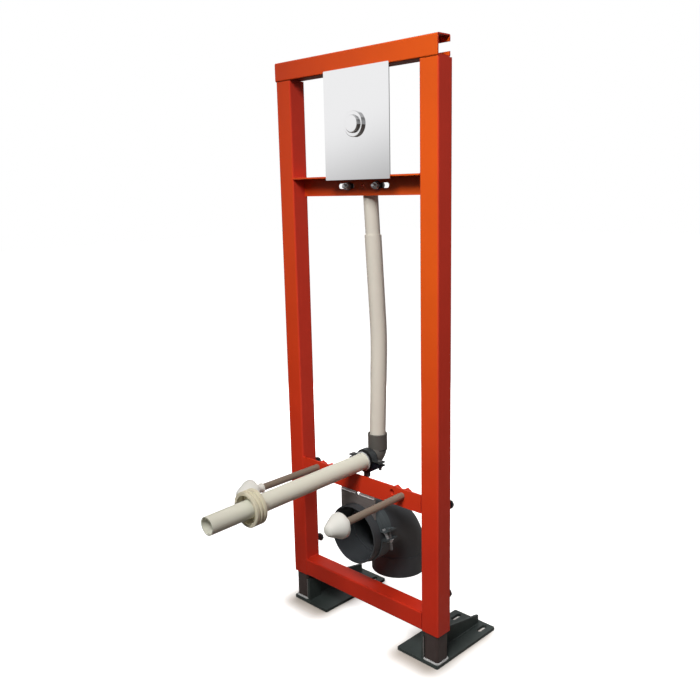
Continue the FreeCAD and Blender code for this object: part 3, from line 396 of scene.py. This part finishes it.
# %% Fastener parts
CHAMFER, CHAMFER_SLOPE = 0.95, 0.55
DOME = [(0.8, 0.6), (0.45, 0.92), (0.1, 1.0)]
PITCH = {10: 1.5, 8: 1.25, 6: 1.0}
THREAD_DEPTH, RINGS_A_TURN = 0.6, 6


def hexagon(flats):
    """Radius of a hexagon at an angle."""
    return lambda angle: flats / 2 / math.cos(angle % (math.pi / 3) - math.pi / 6)


def chamfered(flats, edge, sign):
    """Height of a hexagon's side at an angle, where a turned chamfer cuts it."""
    side = hexagon(flats)
    return lambda angle: edge - sign * CHAMFER_SLOPE * max(0, side(angle) - CHAMFER * flats / 2)


def nut(made, flats, bore, low, high):
    """A hexagon nut with a round bore, chamfered on both faces."""
    turned = CHAMFER * flats / 2
    skin(made, [ring(bore, low), ring(bore, high), ring(turned, high),
                ring(hexagon(flats), chamfered(flats, high, 1)),
                ring(hexagon(flats), chamfered(flats, low, -1)), ring(turned, low)], loop=True)


def bolt_head(made, flats, low, high, dome):
    """A hexagon head, chamfered and slightly domed on its outer face."""
    turned = CHAMFER * flats / 2
    sides = [ring(turned, low), ring(hexagon(flats), low),
             ring(hexagon(flats), chamfered(flats, high, 1)), ring(turned, high)]
    skin(made, sides + [ring(turned * across, high + dome * up) for across, up in DOME])


def washer(made, outer, bore, low, high):
    """A flat washer with softened outer edges."""
    soft = (high - low) / 4
    skin(made, [ring(bore, low), ring(bore, high), ring(outer - soft, high), ring(outer, high - soft),
                ring(outer, low + soft), ring(outer - soft, low)], loop=True)


def saw(turns):
    """Falls from one to nothing and rises to one again in each turn."""
    return abs(2 * (turns % 1) - 1)


def thread(made, radius, low, high, pitch, count=24):
    """A threaded rod; the crest winds up because its height depends on the angle."""
    depth = THREAD_DEPTH * pitch
    steps = max(4, round((high - low) / pitch * RINGS_A_TURN))
    stack = [ring(radius - depth, low, count)]
    for step in range(1, steps):
        rise = low + (high - low) * step / steps
        stack.append(ring(lambda angle: radius - depth * saw(rise / pitch - angle / 2 / math.pi),
                          rise, count))
    stack.append(ring(radius - depth, high, count))
    skin(made, stack)


print("corner radius of a 13 mm hexagon: %.2f mm" % hexagon(13)(0))

# %% [markdown]
# ## Bolts of the legs
# Four set bolts on the back of the uprights press on the sliding legs. Each has a
# threaded shank and a hexagon head with a slightly domed end. The solid's own box says
# where it sits, so the detailed bolt takes its exact place.

# %% Leg bolts
LEG_BOLT, HEAD_FLATS, HEAD_LENGTH, HEAD_LAP, HEAD_DOME = 10, 15, 6, 0.4, 1.2
for name in [n for n in solids if n.endswith("leg_bolt")]:
    low, high = corners(name)
    middle = (low + high) / 2
    length = high.y - low.y
    shank = length - HEAD_LENGTH
    made = bmesh.new()
    thread(made, LEG_BOLT / 2, 0, shank, PITCH[LEG_BOLT])
    bolt_head(made, HEAD_FLATS, shank - HEAD_LAP, length - HEAD_DOME, HEAD_DOME)
    piece("threaded_" + name, made, "black_steel",
          place=stand(middle.x, low.y, middle.z, (0, 1, 0)), instead_of=[name])
print("leg bolt: %.1f mm long" % length)

# %% [markdown]
# ## Valve bolts
# Two studs clamp the valve's bracket to the crossbar through its slots. In front each
# has a black washer, two thin nuts locked together and a bare end of thread; behind is
# one plain nut. Their place and length come from the solid; the threads, the nuts and
# the washers are new.

# %% Valve bolts
VALVE_STUD, NUT_FLATS, NUT_BORE, NUT_LENGTH, LOCK_GAP = 8, 13, 3.6, 6.5, 0.3
WASHER_OUTER, WASHER_BORE, WASHER_THICK, WASHER_SEAT = 8.0, 4.2, 1.6, 12.5
for name in [n for n in solids if n.endswith("valve_bolt")]:
    low, high = corners(name)
    middle = (low + high) / 2
    length = high.y - low.y
    joint = WASHER_SEAT - NUT_LENGTH / 2
    place = stand(middle.x, low.y, middle.z, (0, 1, 0))
    made = bmesh.new()
    thread(made, VALVE_STUD / 2, 0, length, PITCH[VALVE_STUD])
    for bottom, top in ((WASHER_SEAT - NUT_LENGTH, joint - LOCK_GAP), (joint + LOCK_GAP, WASHER_SEAT),
                        (length - NUT_LENGTH, length)):
        nut(made, NUT_FLATS, NUT_BORE, bottom, top)
    piece("threaded_" + name, made, "bright_zinc", place=place, instead_of=[name])
    made = bmesh.new()
    washer(made, WASHER_OUTER, WASHER_BORE, WASHER_SEAT, WASHER_SEAT + WASHER_THICK)
    piece(name.replace("bolt", "washer"), made, "black_steel", place=place)
print("valve bolt: %.1f mm long" % length)

# %% [markdown]
# ## Pan studs
# The pan hangs on two lengths of 10 mm threaded rod. Most of each is inside its
# sleeve, but the tail shows behind the crossbar, so the whole rod is threaded. Each
# rod droops by up to two degrees, as its solid does.

# %% Threaded pan studs
PAN_ROD, ROD_POINTS = 10, 16
DROOP = {"left_pan_stud": 0.5, "right_pan_stud": 1.8}
for name, degrees in DROOP.items():
    low, high = corners(name)
    run = math.radians(degrees)
    axis = Vector((0, math.cos(run), math.sin(run)))
    middle = (low + high) / 2
    length = (high.y - low.y - PAN_ROD * math.sin(run)) / math.cos(run)
    made = bmesh.new()
    thread(made, PAN_ROD / 2, -length / 2, length / 2, PITCH[PAN_ROD], count=ROD_POINTS)
    piece("threaded_" + name, made, "zinc", place=stand(*middle, axis), instead_of=[name])
print("pan stud: %.0f mm long" % length)

# %% [markdown]
# ## Screw of the waste band
# The band clamp is drawn together by a long screw on its right. A bright tongue
# folded from the strip leads down to the nut, and the cut end of the screw points
# below it. The band is turned a few degrees about the pipe, so the parts are drawn
# upright about the pipe's axis first and then turned with it.

# %% Band screw, nut and tongue
PIPE_HEIGHT, BAND_TURN, SCREW_OUT, EAR_TOP = 215, 8, 67.55, 9.5
SCREW_RADIUS, SCREW_TAIL, SCREW_FLATS, SCREW_HEAD, SCREW_DOME = 3.25, 31.5, 10, 3.6, 0.6
SCREW_NUT_BORE, SCREW_NUT_LENGTH, SCREW_NUT_PLAY = 2.9, 5.5, 0.2
SCREW_WASHER_OUTER, SCREW_WASHER_BORE, SCREW_WASHER_THICK = 7, 3.4, 1.6
TONGUE = [(62.0, -9, 13), (63.4, -8, 7), (65.4, -6, 0), (67.2, -4, -7.5)]
TONGUE_SECTION = [(0, -4), (1.2, -4), (1.8, 0), (1.2, 4), (0, 4)]
low, high = corners("band_screw")
screw_y = (low.y + high.y) / 2
tilt = Matrix.Rotation(math.radians(-BAND_TURN), 4, "Y")
turned = Matrix.Translation((0, screw_y * MM, PIPE_HEIGHT * MM)) @ tilt
screw_place = turned @ Matrix.Translation((SCREW_OUT * MM, 0, 0))
made = bmesh.new()
thread(made, SCREW_RADIUS, -SCREW_TAIL, EAR_TOP, PITCH[6])
piece("threaded_band_screw", made, "zinc", place=screw_place, instead_of=["band_screw"])
made = bmesh.new()
nut(made, SCREW_FLATS, SCREW_NUT_BORE, -EAR_TOP - SCREW_NUT_LENGTH, -EAR_TOP - SCREW_NUT_PLAY)
washer(made, SCREW_WASHER_OUTER, SCREW_WASHER_BORE, -EAR_TOP - SCREW_WASHER_THICK, -EAR_TOP)
piece("band_screw_nut", made, "bright_zinc", place=screw_place)
made = bmesh.new()
bolt_head(made, SCREW_FLATS, EAR_TOP, EAR_TOP + SCREW_HEAD, SCREW_DOME)
piece("band_screw_head", made, "band_steel", place=screw_place)
made = bmesh.new()
skin(made, [[Vector((out + dx, back + dy, up)) for dx, dy in TONGUE_SECTION] for out, back, up in TONGUE])
piece("band_tongue", made, "bright_zinc", place=turned)
print("band screw at %.0f mm from the pipe's axis" % SCREW_OUT)

# %% [markdown]
# ## Screws of the pipe clip
# Two small hexagon screws draw the clip's ears together. A pressed steel ring also
# shows in front of the black lining, as a thin bright line round the pipe.

# %% Clip screws and ring
EAR_INSET, CLIP_SCREW, CLIP_FLATS, CLIP_NUT_BORE, CLIP_DOME = 7, 6, 8, 2.6, 0.4
TAIL_RISE, SHANK_RISE, HEAD_BASE, HEAD_TOP, NUT_BASE, NUT_TOP = 12, 5, 2.6, 4.6, 6.2, 2.6
FLUSH_DROOP, RING_BACK, RING_DROP = 1.95, 0.7, 0.4
CLIP_RING = [(17.0, 0), (17.0, -0.9), (17.8, -1.5), (18.9, -0.9), (18.9, 0)]
low, high = corners("clip_upper_half")
bottom, top = corners("clip_lower_half")
middle_y = (low.y + high.y) / 2
for side, x in (("left", low.x + EAR_INSET), ("right", high.x - EAR_INSET)):
    made = bmesh.new()
    thread(made, CLIP_SCREW / 2, bottom.z + TAIL_RISE, low.z + SHANK_RISE, PITCH[CLIP_SCREW])
    bolt_head(made, CLIP_FLATS, low.z + HEAD_BASE, low.z + HEAD_TOP, CLIP_DOME)
    nut(made, CLIP_FLATS, CLIP_NUT_BORE, top.z - NUT_BASE, top.z - NUT_TOP)
    piece("clip_screw_" + side, made, "zinc", place=stand(x, middle_y, 0, (0, 0, 1)))
ears = low.z
low, high = corners("clip_lining")
droop = math.radians(FLUSH_DROOP)
made = bmesh.new()
skin(made, [ring(radius, rise) for radius, rise in CLIP_RING], loop=True)
piece("clip_ring", made, "bright_zinc",
      place=stand(0, low.y + RING_BACK, (low.z + high.z) / 2 - RING_DROP,
                  (0, math.cos(droop), math.sin(droop))))
print("clip ears meet at z = %.0f mm" % ears)

# %% [markdown]
# ## Rim of the elbow's socket
# The socket of the elbow has a moulded rim at its mouth. Where the socket ends and the
# bend begins, a thin black ring stands in for the shade in the groove there: painted
# shade. Both are turned shapes, so each is a loop of rings about the axis of the down tube.

# %% Elbow rim and ring
SOCKET_LENGTH, ELBOW_REACH, RIM = 27, 18.8, 4.2
RIM_OUTLINE = [(17.4, -2), (17.4, RIM), (19.0, RIM), (19.6, RIM - 0.8), (19.6, 0.6), (19.2, 0), (18.6, -2)]
GROOVE_SHADE_OUTLINE = [(18.0, 0), (19.2, 0), (19.5, -0.9), (19.2, -1.8), (18.0, -1.8)]
low, high = corners("flush_elbow")
socket_y = corners("flush_pipe")[1].y + ELBOW_REACH
# The black ring below the socket is painted shade in the groove.
for name, outline, finish, z in (("elbow_rim", RIM_OUTLINE, "grey_pvc", high.z),
                                 ("elbow_ring", GROOVE_SHADE_OUTLINE, "black_rubber", high.z - SOCKET_LENGTH)):
    made = bmesh.new()
    skin(made, [ring(radius, rise) for radius, rise in outline], loop=True)
    piece(name, made, finish, place=stand(0, socket_y, z, (0, 0, 1)))
print("elbow socket at y = %.1f mm" % socket_y)

# %% [markdown]
# ## Fold of the hanger
# The hanger's sheet is folded along its top. A notch parts the fold in the middle, so two
# short rounded rolls lie along the edge; they take the pale bright zinc, not the hanger's
# darker sheet, as a painted highlight along the fold.

# %% Hanger fold
FOLD, FOLD_PROUD, FOLD_DROP, FOLD_POINTS = 1.5, 0.7, 4.5, 20
NOTCH_HALF, END_INSET, END_ROUND = 6.0, 1, 0.8
low, high = corners("waste_hanger")
length = high.x - END_INSET - NOTCH_HALF
roll = [(FOLD * 0.5, 0), (FOLD, END_ROUND), (FOLD, length - END_ROUND), (FOLD * 0.5, length)]
for side, x, run in (("left", low.x + END_INSET, 1), ("right", high.x - END_INSET, -1)):
    made = bmesh.new()
    skin(made, [ring(radius, rise, FOLD_POINTS) for radius, rise in roll])
    # Painted highlight: the rolls are pale bright zinc, lighter than the hanger.
    piece("hanger_fold_painted_highlight_" + side, made, "bright_zinc",
          place=stand(x, low.y - FOLD_PROUD, high.z - FOLD_DROP, (run, 0, 0)))
print("hanger fold: two rolls of %.0f mm" % length)

# %% [markdown]
# ## Weld beads
# A welder's bead is a row of frozen ripples about 3 mm apart. It could be a bump in a
# material, but beads catch the light along their whole length, so they are geometry:
# a path is walked in small steps, and the ring at each step swells and shrinks.

# %% Weld bead
STEP, RIPPLE, BEAD_POINTS = 1.0, 3.2, 10
LEAST, SWELL = 0.8, 0.2
CORNER_STEP = 15


def walk(points, closed):
    """Points at equal steps along a path through corner points."""
    path = [Vector(p) for p in points]
    if closed:
        path.append(path[0])
    steps = []
    for a, b in zip(path, path[1:]):
        count = max(1, round((b - a).length / STEP))
        steps += [a.lerp(b, i / count) for i in range(count)]
    return steps if closed else steps + [path[-1]]


def bead(made, points, radius, closed=False, up=(0, 0, 1)):
    """A rippled bead along a path of corner points."""
    steps = walk(points, closed)
    stack = []
    travelled = 0
    for i, point in enumerate(steps):
        before = steps[i - 1] if closed or i else point
        after = steps[(i + 1) % len(steps)] if closed or i + 1 < len(steps) else point
        ahead = (after - before).normalized()
        side = ahead.cross(Vector(up)).normalized()
        rise = side.cross(ahead)
        travelled += (point - before).length
        swell = radius * (LEAST + SWELL * abs(math.sin(math.pi * travelled / RIPPLE)))
        stack.append([point + swell * (math.cos(a) * side + math.sin(a) * rise)
                      for a in [2 * math.pi * k / BEAD_POINTS for k in range(BEAD_POINTS)]])
    skin(made, stack, loop=closed)


def rounded_loop(x0, y0, x1, y1, radius, z):
    """Corner points of a rectangle with rounded corners."""
    points = []
    for cx, cy, first in ((x1 - radius, y1 - radius, 0), (x0 + radius, y1 - radius, 90),
                          (x0 + radius, y0 + radius, 180), (x1 - radius, y0 + radius, 270)):
        for degrees in range(first, first + 91, CORNER_STEP):
            turn = math.radians(degrees)
            points.append((cx + radius * math.cos(turn), cy + radius * math.sin(turn), z))
    return points


print("a bead 100 mm long has", len(walk([(0, 0, 0), (100, 0, 0)], False)), "steps")

# %% [markdown]
# ## Welds of the feet
# Each leg is welded to its base plate all round, and the gusset along both sides. The
# toe of the gusset stands beside the leg and is joined to it by an upright bead. The
# weld round the leg is drawn near white, partly bare metal and partly a painted highlight;
# the bead at the toe is duller, and those on the gusset are dark.

# %% Welds on the feet
LEG_BEAD, GUSSET_BEAD, SEAM_BEAD, TOE_BEAD = 2.6, 1.9, 1.7, 1.6
LEG_CORNER, LEG_GAP, LEG_RISE = 5, 0.5, 0.8
GUSSET_GAP, GUSSET_RISE, FRONT_STOP, BACK_STOP = 0.3, 0.3, 3, 2
SEAM_BACK, SEAM_LOW, SEAM_TOP, TOE_WELD_OUT, TOE_WELD_LOW = 0.2, 4, 3, 0.4, 3
TOE_THICK, TOE_RISE, TOE_ROUND, TOE_LIP = 6.5, 47, 1.2, 0.8
UPRIGHT = (0, 1, 0)
for side, sign in (("left", -1), ("right", 1)):
    body = side + "_foot"
    leg_low, leg_high = corners(side + "_leg")
    low, high = corners(side + "_gusset")
    plate_top = leg_low.z
    made = bmesh.new()
    bead(made, rounded_loop(leg_low.x - LEG_GAP, leg_low.y - LEG_GAP, leg_high.x + LEG_GAP,
                            leg_high.y + LEG_GAP, LEG_CORNER, plate_top + LEG_RISE), LEG_BEAD, closed=True)
    # The near-white weld round the leg is partly a painted highlight.
    piece(side + "_leg_weld", made, "bare_weld", body=body)
    along, seams = bmesh.new(), bmesh.new()
    for x in (low.x - GUSSET_GAP, high.x + GUSSET_GAP):
        z = plate_top + GUSSET_RISE
        bead(along, [(x, low.y + FRONT_STOP, z), (x, high.y - BACK_STOP, z)], GUSSET_BEAD)
        y = low.y + SEAM_BACK
        bead(seams, [(x, y, plate_top + SEAM_LOW), (x, y, high.z - SEAM_TOP)], SEAM_BEAD, up=UPRIGHT)
    piece(side + "_gusset_weld", along, "foot_plate", body=body)
    piece(side + "_gusset_seam", seams, "foot_tube", body=body)
    inner = min(abs(leg_low.x), abs(leg_high.x))
    x0, x1 = sorted((sign * inner, sign * (inner - TOE_THICK)))
    made = bmesh.new()
    skin(made, [[Vector(p) for p in rounded_loop(x0, leg_low.y - LEG_GAP, x1, leg_high.y, TOE_ROUND, z)]
                for z in (plate_top, plate_top + TOE_RISE - TOE_LIP, plate_top + TOE_RISE)])
    piece(side + "_gusset_toe", made, "foot_plate", body=body)
    x, y = sign * inner, leg_low.y - TOE_WELD_OUT
    made = bmesh.new()
    bead(made, [(x, y, plate_top + TOE_WELD_LOW), (x, y, plate_top + TOE_RISE)], TOE_BEAD, up=UPRIGHT)
    piece(side + "_toe_weld", made, "zinc", body=body)
print("welded the feet")

# %% [markdown]
# ## Welds of the frame
# The rails and crossbars are welded between the uprights before painting, so these
# beads carry the powder coat. No bead shows on the front faces, so they lie on top of
# the rails, behind them and under the top rail. Each row of the table names a rail, the
# face of it that is welded, and how far in from the ends of that face the bead stops.

# %% Painted welds on the frame
FRAME_BEAD, PAN_BAR_WALL = 1.8, 4
SEAMS = [("bottom_rail", "top", 4, 2), ("bottom_rail", "back", 3, 3), ("valve_crossbar", "top", 3, 3),
         ("valve_crossbar", "back", 3, 3), ("pan_crossbar", "inside", 6, 3), ("top_rail", "under", 5, 4)]
inside = corners("right_upright")[0].x
joints = []
for rail, face, first, last in SEAMS:
    low, high = corners(rail)
    if face in ("top", "under"):
        z = high.z if face == "top" else low.z
        joints.append(((low.y + first, z), (high.y - last, z)))
    else:
        y = high.y if face == "back" else low.y + PAN_BAR_WALL
        joints.append(((y, low.z + first), (y, high.z - last)))
for side, x in (("left", -inside), ("right", inside)):
    made = bmesh.new()
    for (y0, z0), (y1, z1) in joints:
        bead(made, [(x, y0, z0), (x, y1, z1)], FRAME_BEAD, up=(1, 0, 0))
    piece(side + "_frame_welds", made, "frame_paint")
print("welded", 2 * len(joints), "joints of the frame")

# %% [markdown]
# ## Thread of the water inlet
# The plate hides the valve from the front. It is taken to be fed from above through a
# threaded spigot, 26 mm across. The solid has the plain cylinder, and the crests of a
# coarse pipe thread stand just outside it.

# %% Inlet thread
INLET_X, INLET_Y, INLET_RADIUS, INLET_PITCH = 15, -112.5, 13.5, 2.3
INLET_LENGTH, INLET_END = 24, 1.5
low, high = corners("flush_valve")
made = bmesh.new()
thread(made, INLET_RADIUS, high.z - INLET_LENGTH, high.z - INLET_END, INLET_PITCH, count=AROUND)
piece("inlet_thread", made, "brass", place=stand(INLET_X, INLET_Y, 0, (0, 0, 1)))
print("inlet thread ends at z = %.0f mm" % high.z)

# %% [markdown]
# ## Floor
# The object stands on a pale studio floor that runs away to the horizon. To the
# camera the paper is lifted to white, so only shadows stay. For light that bounces
# back to the object, and in reflections, the paper is grey, as a real floor outside
# the beam of the lamp would be. A soft painted shadow darkens the paper and its white
# lift under and round the base plates, fading with the distance from a box about each.

# %% Floor
FLOOR, FLOOR_PARTS, FIBRE_MM = 12.0, 24, 3
PLATE_MIDDLE, PLATE_HALF, SHADE_WIDTH = (0.150, -0.0935, 0), (0.031, 0.074, 0), 0.066
CREVICE = 0.05
sheet_mesh = bpy.data.meshes.new("studio_floor")
grid = bmesh.new()
bmesh.ops.create_grid(grid, x_segments=FLOOR_PARTS, y_segments=FLOOR_PARTS, size=FLOOR)
grid.to_mesh(sheet_mesh)
grid.free()
floor = bpy.data.objects.new("studio_floor", sheet_mesh)
bpy.context.scene.collection.objects.link(floor)
paper, tree, shader, place = start("studio_paper_white", Roughness=0.9, Specular_IOR_Level=0.0)
rays = put(tree, "ShaderNodeLightPath").outputs
seen = put(tree, "ShaderNodeMath", {"operation": "MAXIMUM"},
           {0: rays["Is Camera Ray"], 1: rays["Is Transmission Ray"]})
split = put(tree, "ShaderNodeSeparateXYZ", links={0: place})
either = put(tree, "ShaderNodeMath", {"operation": "ABSOLUTE"}, {0: split.outputs["X"]})
folded = put(tree, "ShaderNodeCombineXYZ", links={"X": either.outputs[0], "Y": split.outputs["Y"]})
away = put(tree, "ShaderNodeVectorMath", {"operation": "SUBTRACT", 1: PLATE_MIDDLE}, {0: folded.outputs[0]})
spread = put(tree, "ShaderNodeVectorMath", {"operation": "ABSOLUTE"}, {0: away.outputs[0]})
beyond = put(tree, "ShaderNodeVectorMath", {"operation": "SUBTRACT", 1: PLATE_HALF}, {0: spread.outputs[0]})
outside = put(tree, "ShaderNodeVectorMath", {"operation": "MAXIMUM", 1: (0, 0, 0)}, {0: beyond.outputs[0]})
gap = put(tree, "ShaderNodeVectorMath", {"operation": "LENGTH"}, {0: outside.outputs[0]})
# Painted shadow: the paper darkens towards a box round each base plate.
shade = put(tree, "ShaderNodeMapRange", {"interpolation_type": "SMOOTHSTEP", "From Max": SHADE_WIDTH},
            {"Value": gap.outputs["Value"]})
fibre = put(tree, "ShaderNodeTexNoise", {"Scale": per_metre(FIBRE_MM)}, {"Vector": place})
white = put(tree, "ShaderNodeMix", {"data_type": "RGBA", 6: linear("#F4F4F4"), 7: linear("#FCFCFC")},
            {0: fibre.outputs[0]})
painted_shadow_paper = put(tree, "ShaderNodeMix", {"data_type": "RGBA", 6: linear("#A79F98")},
             {0: shade.outputs[0], 7: white.outputs[2]})
grey = put(tree, "ShaderNodeMix", {"data_type": "RGBA", 6: linear("#77716C"), 7: linear("#B4B1AE")},
           {0: rays["Is Glossy Ray"]})
sheet_tone = put(tree, "ShaderNodeMix", {"data_type": "RGBA"},
                 {0: seen.outputs[0], 6: grey.outputs[2], 7: painted_shadow_paper.outputs[2]})
tree.links.new(sheet_tone.outputs[2], shader.inputs["Base Color"])
# The white lift is painted darker near the plates too, as part of the painted shadow.
white_lift_with_painted_shadow = put(tree, "ShaderNodeMix", {"data_type": "RGBA", 6: linear("#9A938C"), 7: linear("#F7F7F7")},
             {0: shade.outputs[0]})
tree.links.new(white_lift_with_painted_shadow.outputs[2], shader.inputs["Emission Color"])
covered = put(tree, "ShaderNodeAmbientOcclusion", {"Distance": CREVICE, "samples": 8})
lift = put(tree, "ShaderNodeMath", {"operation": "MULTIPLY"}, {0: seen.outputs[0], 1: covered.outputs["AO"]})
tree.links.new(lift.outputs[0], shader.inputs["Emission Strength"])
floor.data.materials.append(paper)
print("floor", 2 * FLOOR, "m wide")

# %% [markdown]
# ## Lamps
# One soft lamp stands in front of the object, to the right and higher than its top. A
# grid on the lamp narrows its beam, so the frame is brightest at the top right and
# dimmer towards its feet. A dim sheet overhead opens the upper faces, and another behind
# keeps the back of the frame readable. Polished metal shows the room, not the lamps.

# %% Lamps
def lamp(name, place, aim, width, height, watts, colour, beam=180):
    """A soft rectangular lamp that looks at a point; its beam is an angle in degrees."""
    data = bpy.data.lights.new(name, "AREA")
    data.shape = "RECTANGLE"
    data.size, data.size_y = width, height
    data.energy = watts
    data.color = linear(colour)[:3]
    data.spread = math.radians(beam)
    made = bpy.data.objects.new(name, data)
    bpy.context.scene.collection.objects.link(made)
    made.location = place
    made.rotation_euler = (Vector(aim) - Vector(place)).to_track_quat("-Z", "Y").to_euler()
    made.visible_glossy = False
    return made


lamps = [lamp("key_softbox", (0.716, -1.495, 2.0), (0.21, -0.16, 0.677), width=0.9, height=0.7,
              watts=5.9, colour="#FFFEFA", beam=57),
         lamp("top_sheet", (0.3, 0.5, 3.2), (0.1, -0.1, 0.6), width=2.2, height=2.2,
              watts=4, colour="#FFFDFA"),
         lamp("rear_sheet", (-1.3, 1.4, 0.8), (0, -0.1, 0.6), width=1.2, height=1.2,
              watts=16, colour="#FFFDFA")]
print("lamps:", [one.name for one in lamps])

# %% [markdown]
# ## World
# The room fills the shadows with dim, slightly warm light. In reflections it is drawn
# as a studio: a white wall in front and to the left, light grey ones in front to the
# right and behind, and a middle grey between them. All of it fades towards the floor,
# which draws the soft gradient down the flush plate. Straight to the camera it is plain
# white. Each wall has a direction, the nearness at which it starts and is full, and a tone.

# %% World
ROOM_LIGHT, BETWEEN_WALLS = 0.13, 0.5
WALLS = [((-0.74, -0.67, 0.05), 0.55, 0.88, 1.0), ((0.75, -0.64, -0.15), 0.60, 0.92, 0.75),
         ((0.0, 1.0, 0.1), 0.78, 0.95, 0.75)]
FADE_SLOPE, FADE_LOW, FADE_HIGH, FADED = -0.53, 0.33, 0.46, 0.45
world = bpy.data.worlds.new("studio_room")
bpy.context.scene.world = world
world.use_nodes = True
tree = world.node_tree
tree.nodes.clear()
where = put(tree, "ShaderNodeTexCoord").outputs["Generated"]
rays = put(tree, "ShaderNodeLightPath").outputs
room = put(tree, "ShaderNodeBackground", {"Color": linear("#FFF3EC"), "Strength": ROOM_LIGHT})
white = put(tree, "ShaderNodeBackground", {"Color": (1, 1, 1, 1), "Strength": 1.0})
walls = None
for direction, edge, full, tone in WALLS:
    towards = put(tree, "ShaderNodeVectorMath", {"operation": "DOT_PRODUCT", 1: direction}, {0: where})
    wall = put(tree, "ShaderNodeMapRange", {"interpolation_type": "SMOOTHSTEP", "From Min": edge,
                                            "From Max": full, "To Max": tone},
               {"Value": towards.outputs["Value"]})
    links = {0: wall.outputs[0], 1: walls.outputs[0]} if walls else {0: wall.outputs[0]}
    walls = put(tree, "ShaderNodeMath", {"operation": "MAXIMUM", 1: BETWEEN_WALLS}, links)
graded = put(tree, "ShaderNodeMix", {"data_type": "RGBA", 6: linear("#1C1B1A"), 7: linear("#FDFDFD")},
             {0: walls.outputs[0]})
level = put(tree, "ShaderNodeVectorMath", {"operation": "DOT_PRODUCT", 1: (FADE_SLOPE, 0, 1)}, {0: where})
fade = put(tree, "ShaderNodeMapRange", {"interpolation_type": "SMOOTHSTEP", "From Min": FADE_LOW,
                                        "From Max": FADE_HIGH, "To Min": FADED, "To Max": 1.0},
           {"Value": level.outputs["Value"]})
mirror = put(tree, "ShaderNodeBackground", links={"Color": graded.outputs[2], "Strength": fade.outputs[0]})
lit = put(tree, "ShaderNodeMixShader",
          links={0: rays["Is Glossy Ray"], 1: room.outputs[0], 2: mirror.outputs[0]})
clear = put(tree, "ShaderNodeMath", {"operation": "MAXIMUM"},
            {0: rays["Is Camera Ray"], 1: rays["Is Transmission Ray"]})
both = put(tree, "ShaderNodeMixShader", links={0: clear.outputs[0], 1: lit.outputs[0], 2: white.outputs[0]})
put(tree, "ShaderNodeOutputWorld", links={"Surface": both.outputs[0]})
print("world:", world.name)

# %% [markdown]
# ## Camera
# The camera stands in front of the object and to its right, about 0.9 m above the floor,
# and looks slightly down. Its place, its turn and its lens come from fitting the object's
# own edges to a square picture, and a small roll about the line of sight completes the
# match.

# %% Camera
PIXELS, FOCAL_PIXELS, SENSOR = 700, 784, 36
CAMERA_PLACE = (1.0224, -1.1985, 0.8851)
azimuth, pitch, roll = (math.radians(degrees) for degrees in (45.0, 11.66, -1.3))
ahead = Vector((-math.sin(azimuth) * math.cos(pitch), math.cos(azimuth) * math.cos(pitch), -math.sin(pitch)))
level_right = ahead.cross(Vector((0, 0, 1))).normalized()
level_up = level_right.cross(ahead)
right = math.cos(roll) * level_right + math.sin(roll) * level_up
up = math.cos(roll) * level_up - math.sin(roll) * level_right
lens = bpy.data.cameras.new("studio_camera")
lens.sensor_width = SENSOR
lens.lens = SENSOR * FOCAL_PIXELS / PIXELS
camera = bpy.data.objects.new("studio_camera", lens)
bpy.context.scene.collection.objects.link(camera)
turn = Matrix((right, up, -ahead)).transposed().to_4x4()
camera.matrix_world = Matrix.Translation(CAMERA_PLACE) @ turn
bpy.context.scene.camera = camera
bpy.context.scene.view_settings.view_transform = "Standard"
print("lens %.2f mm" % lens.lens)
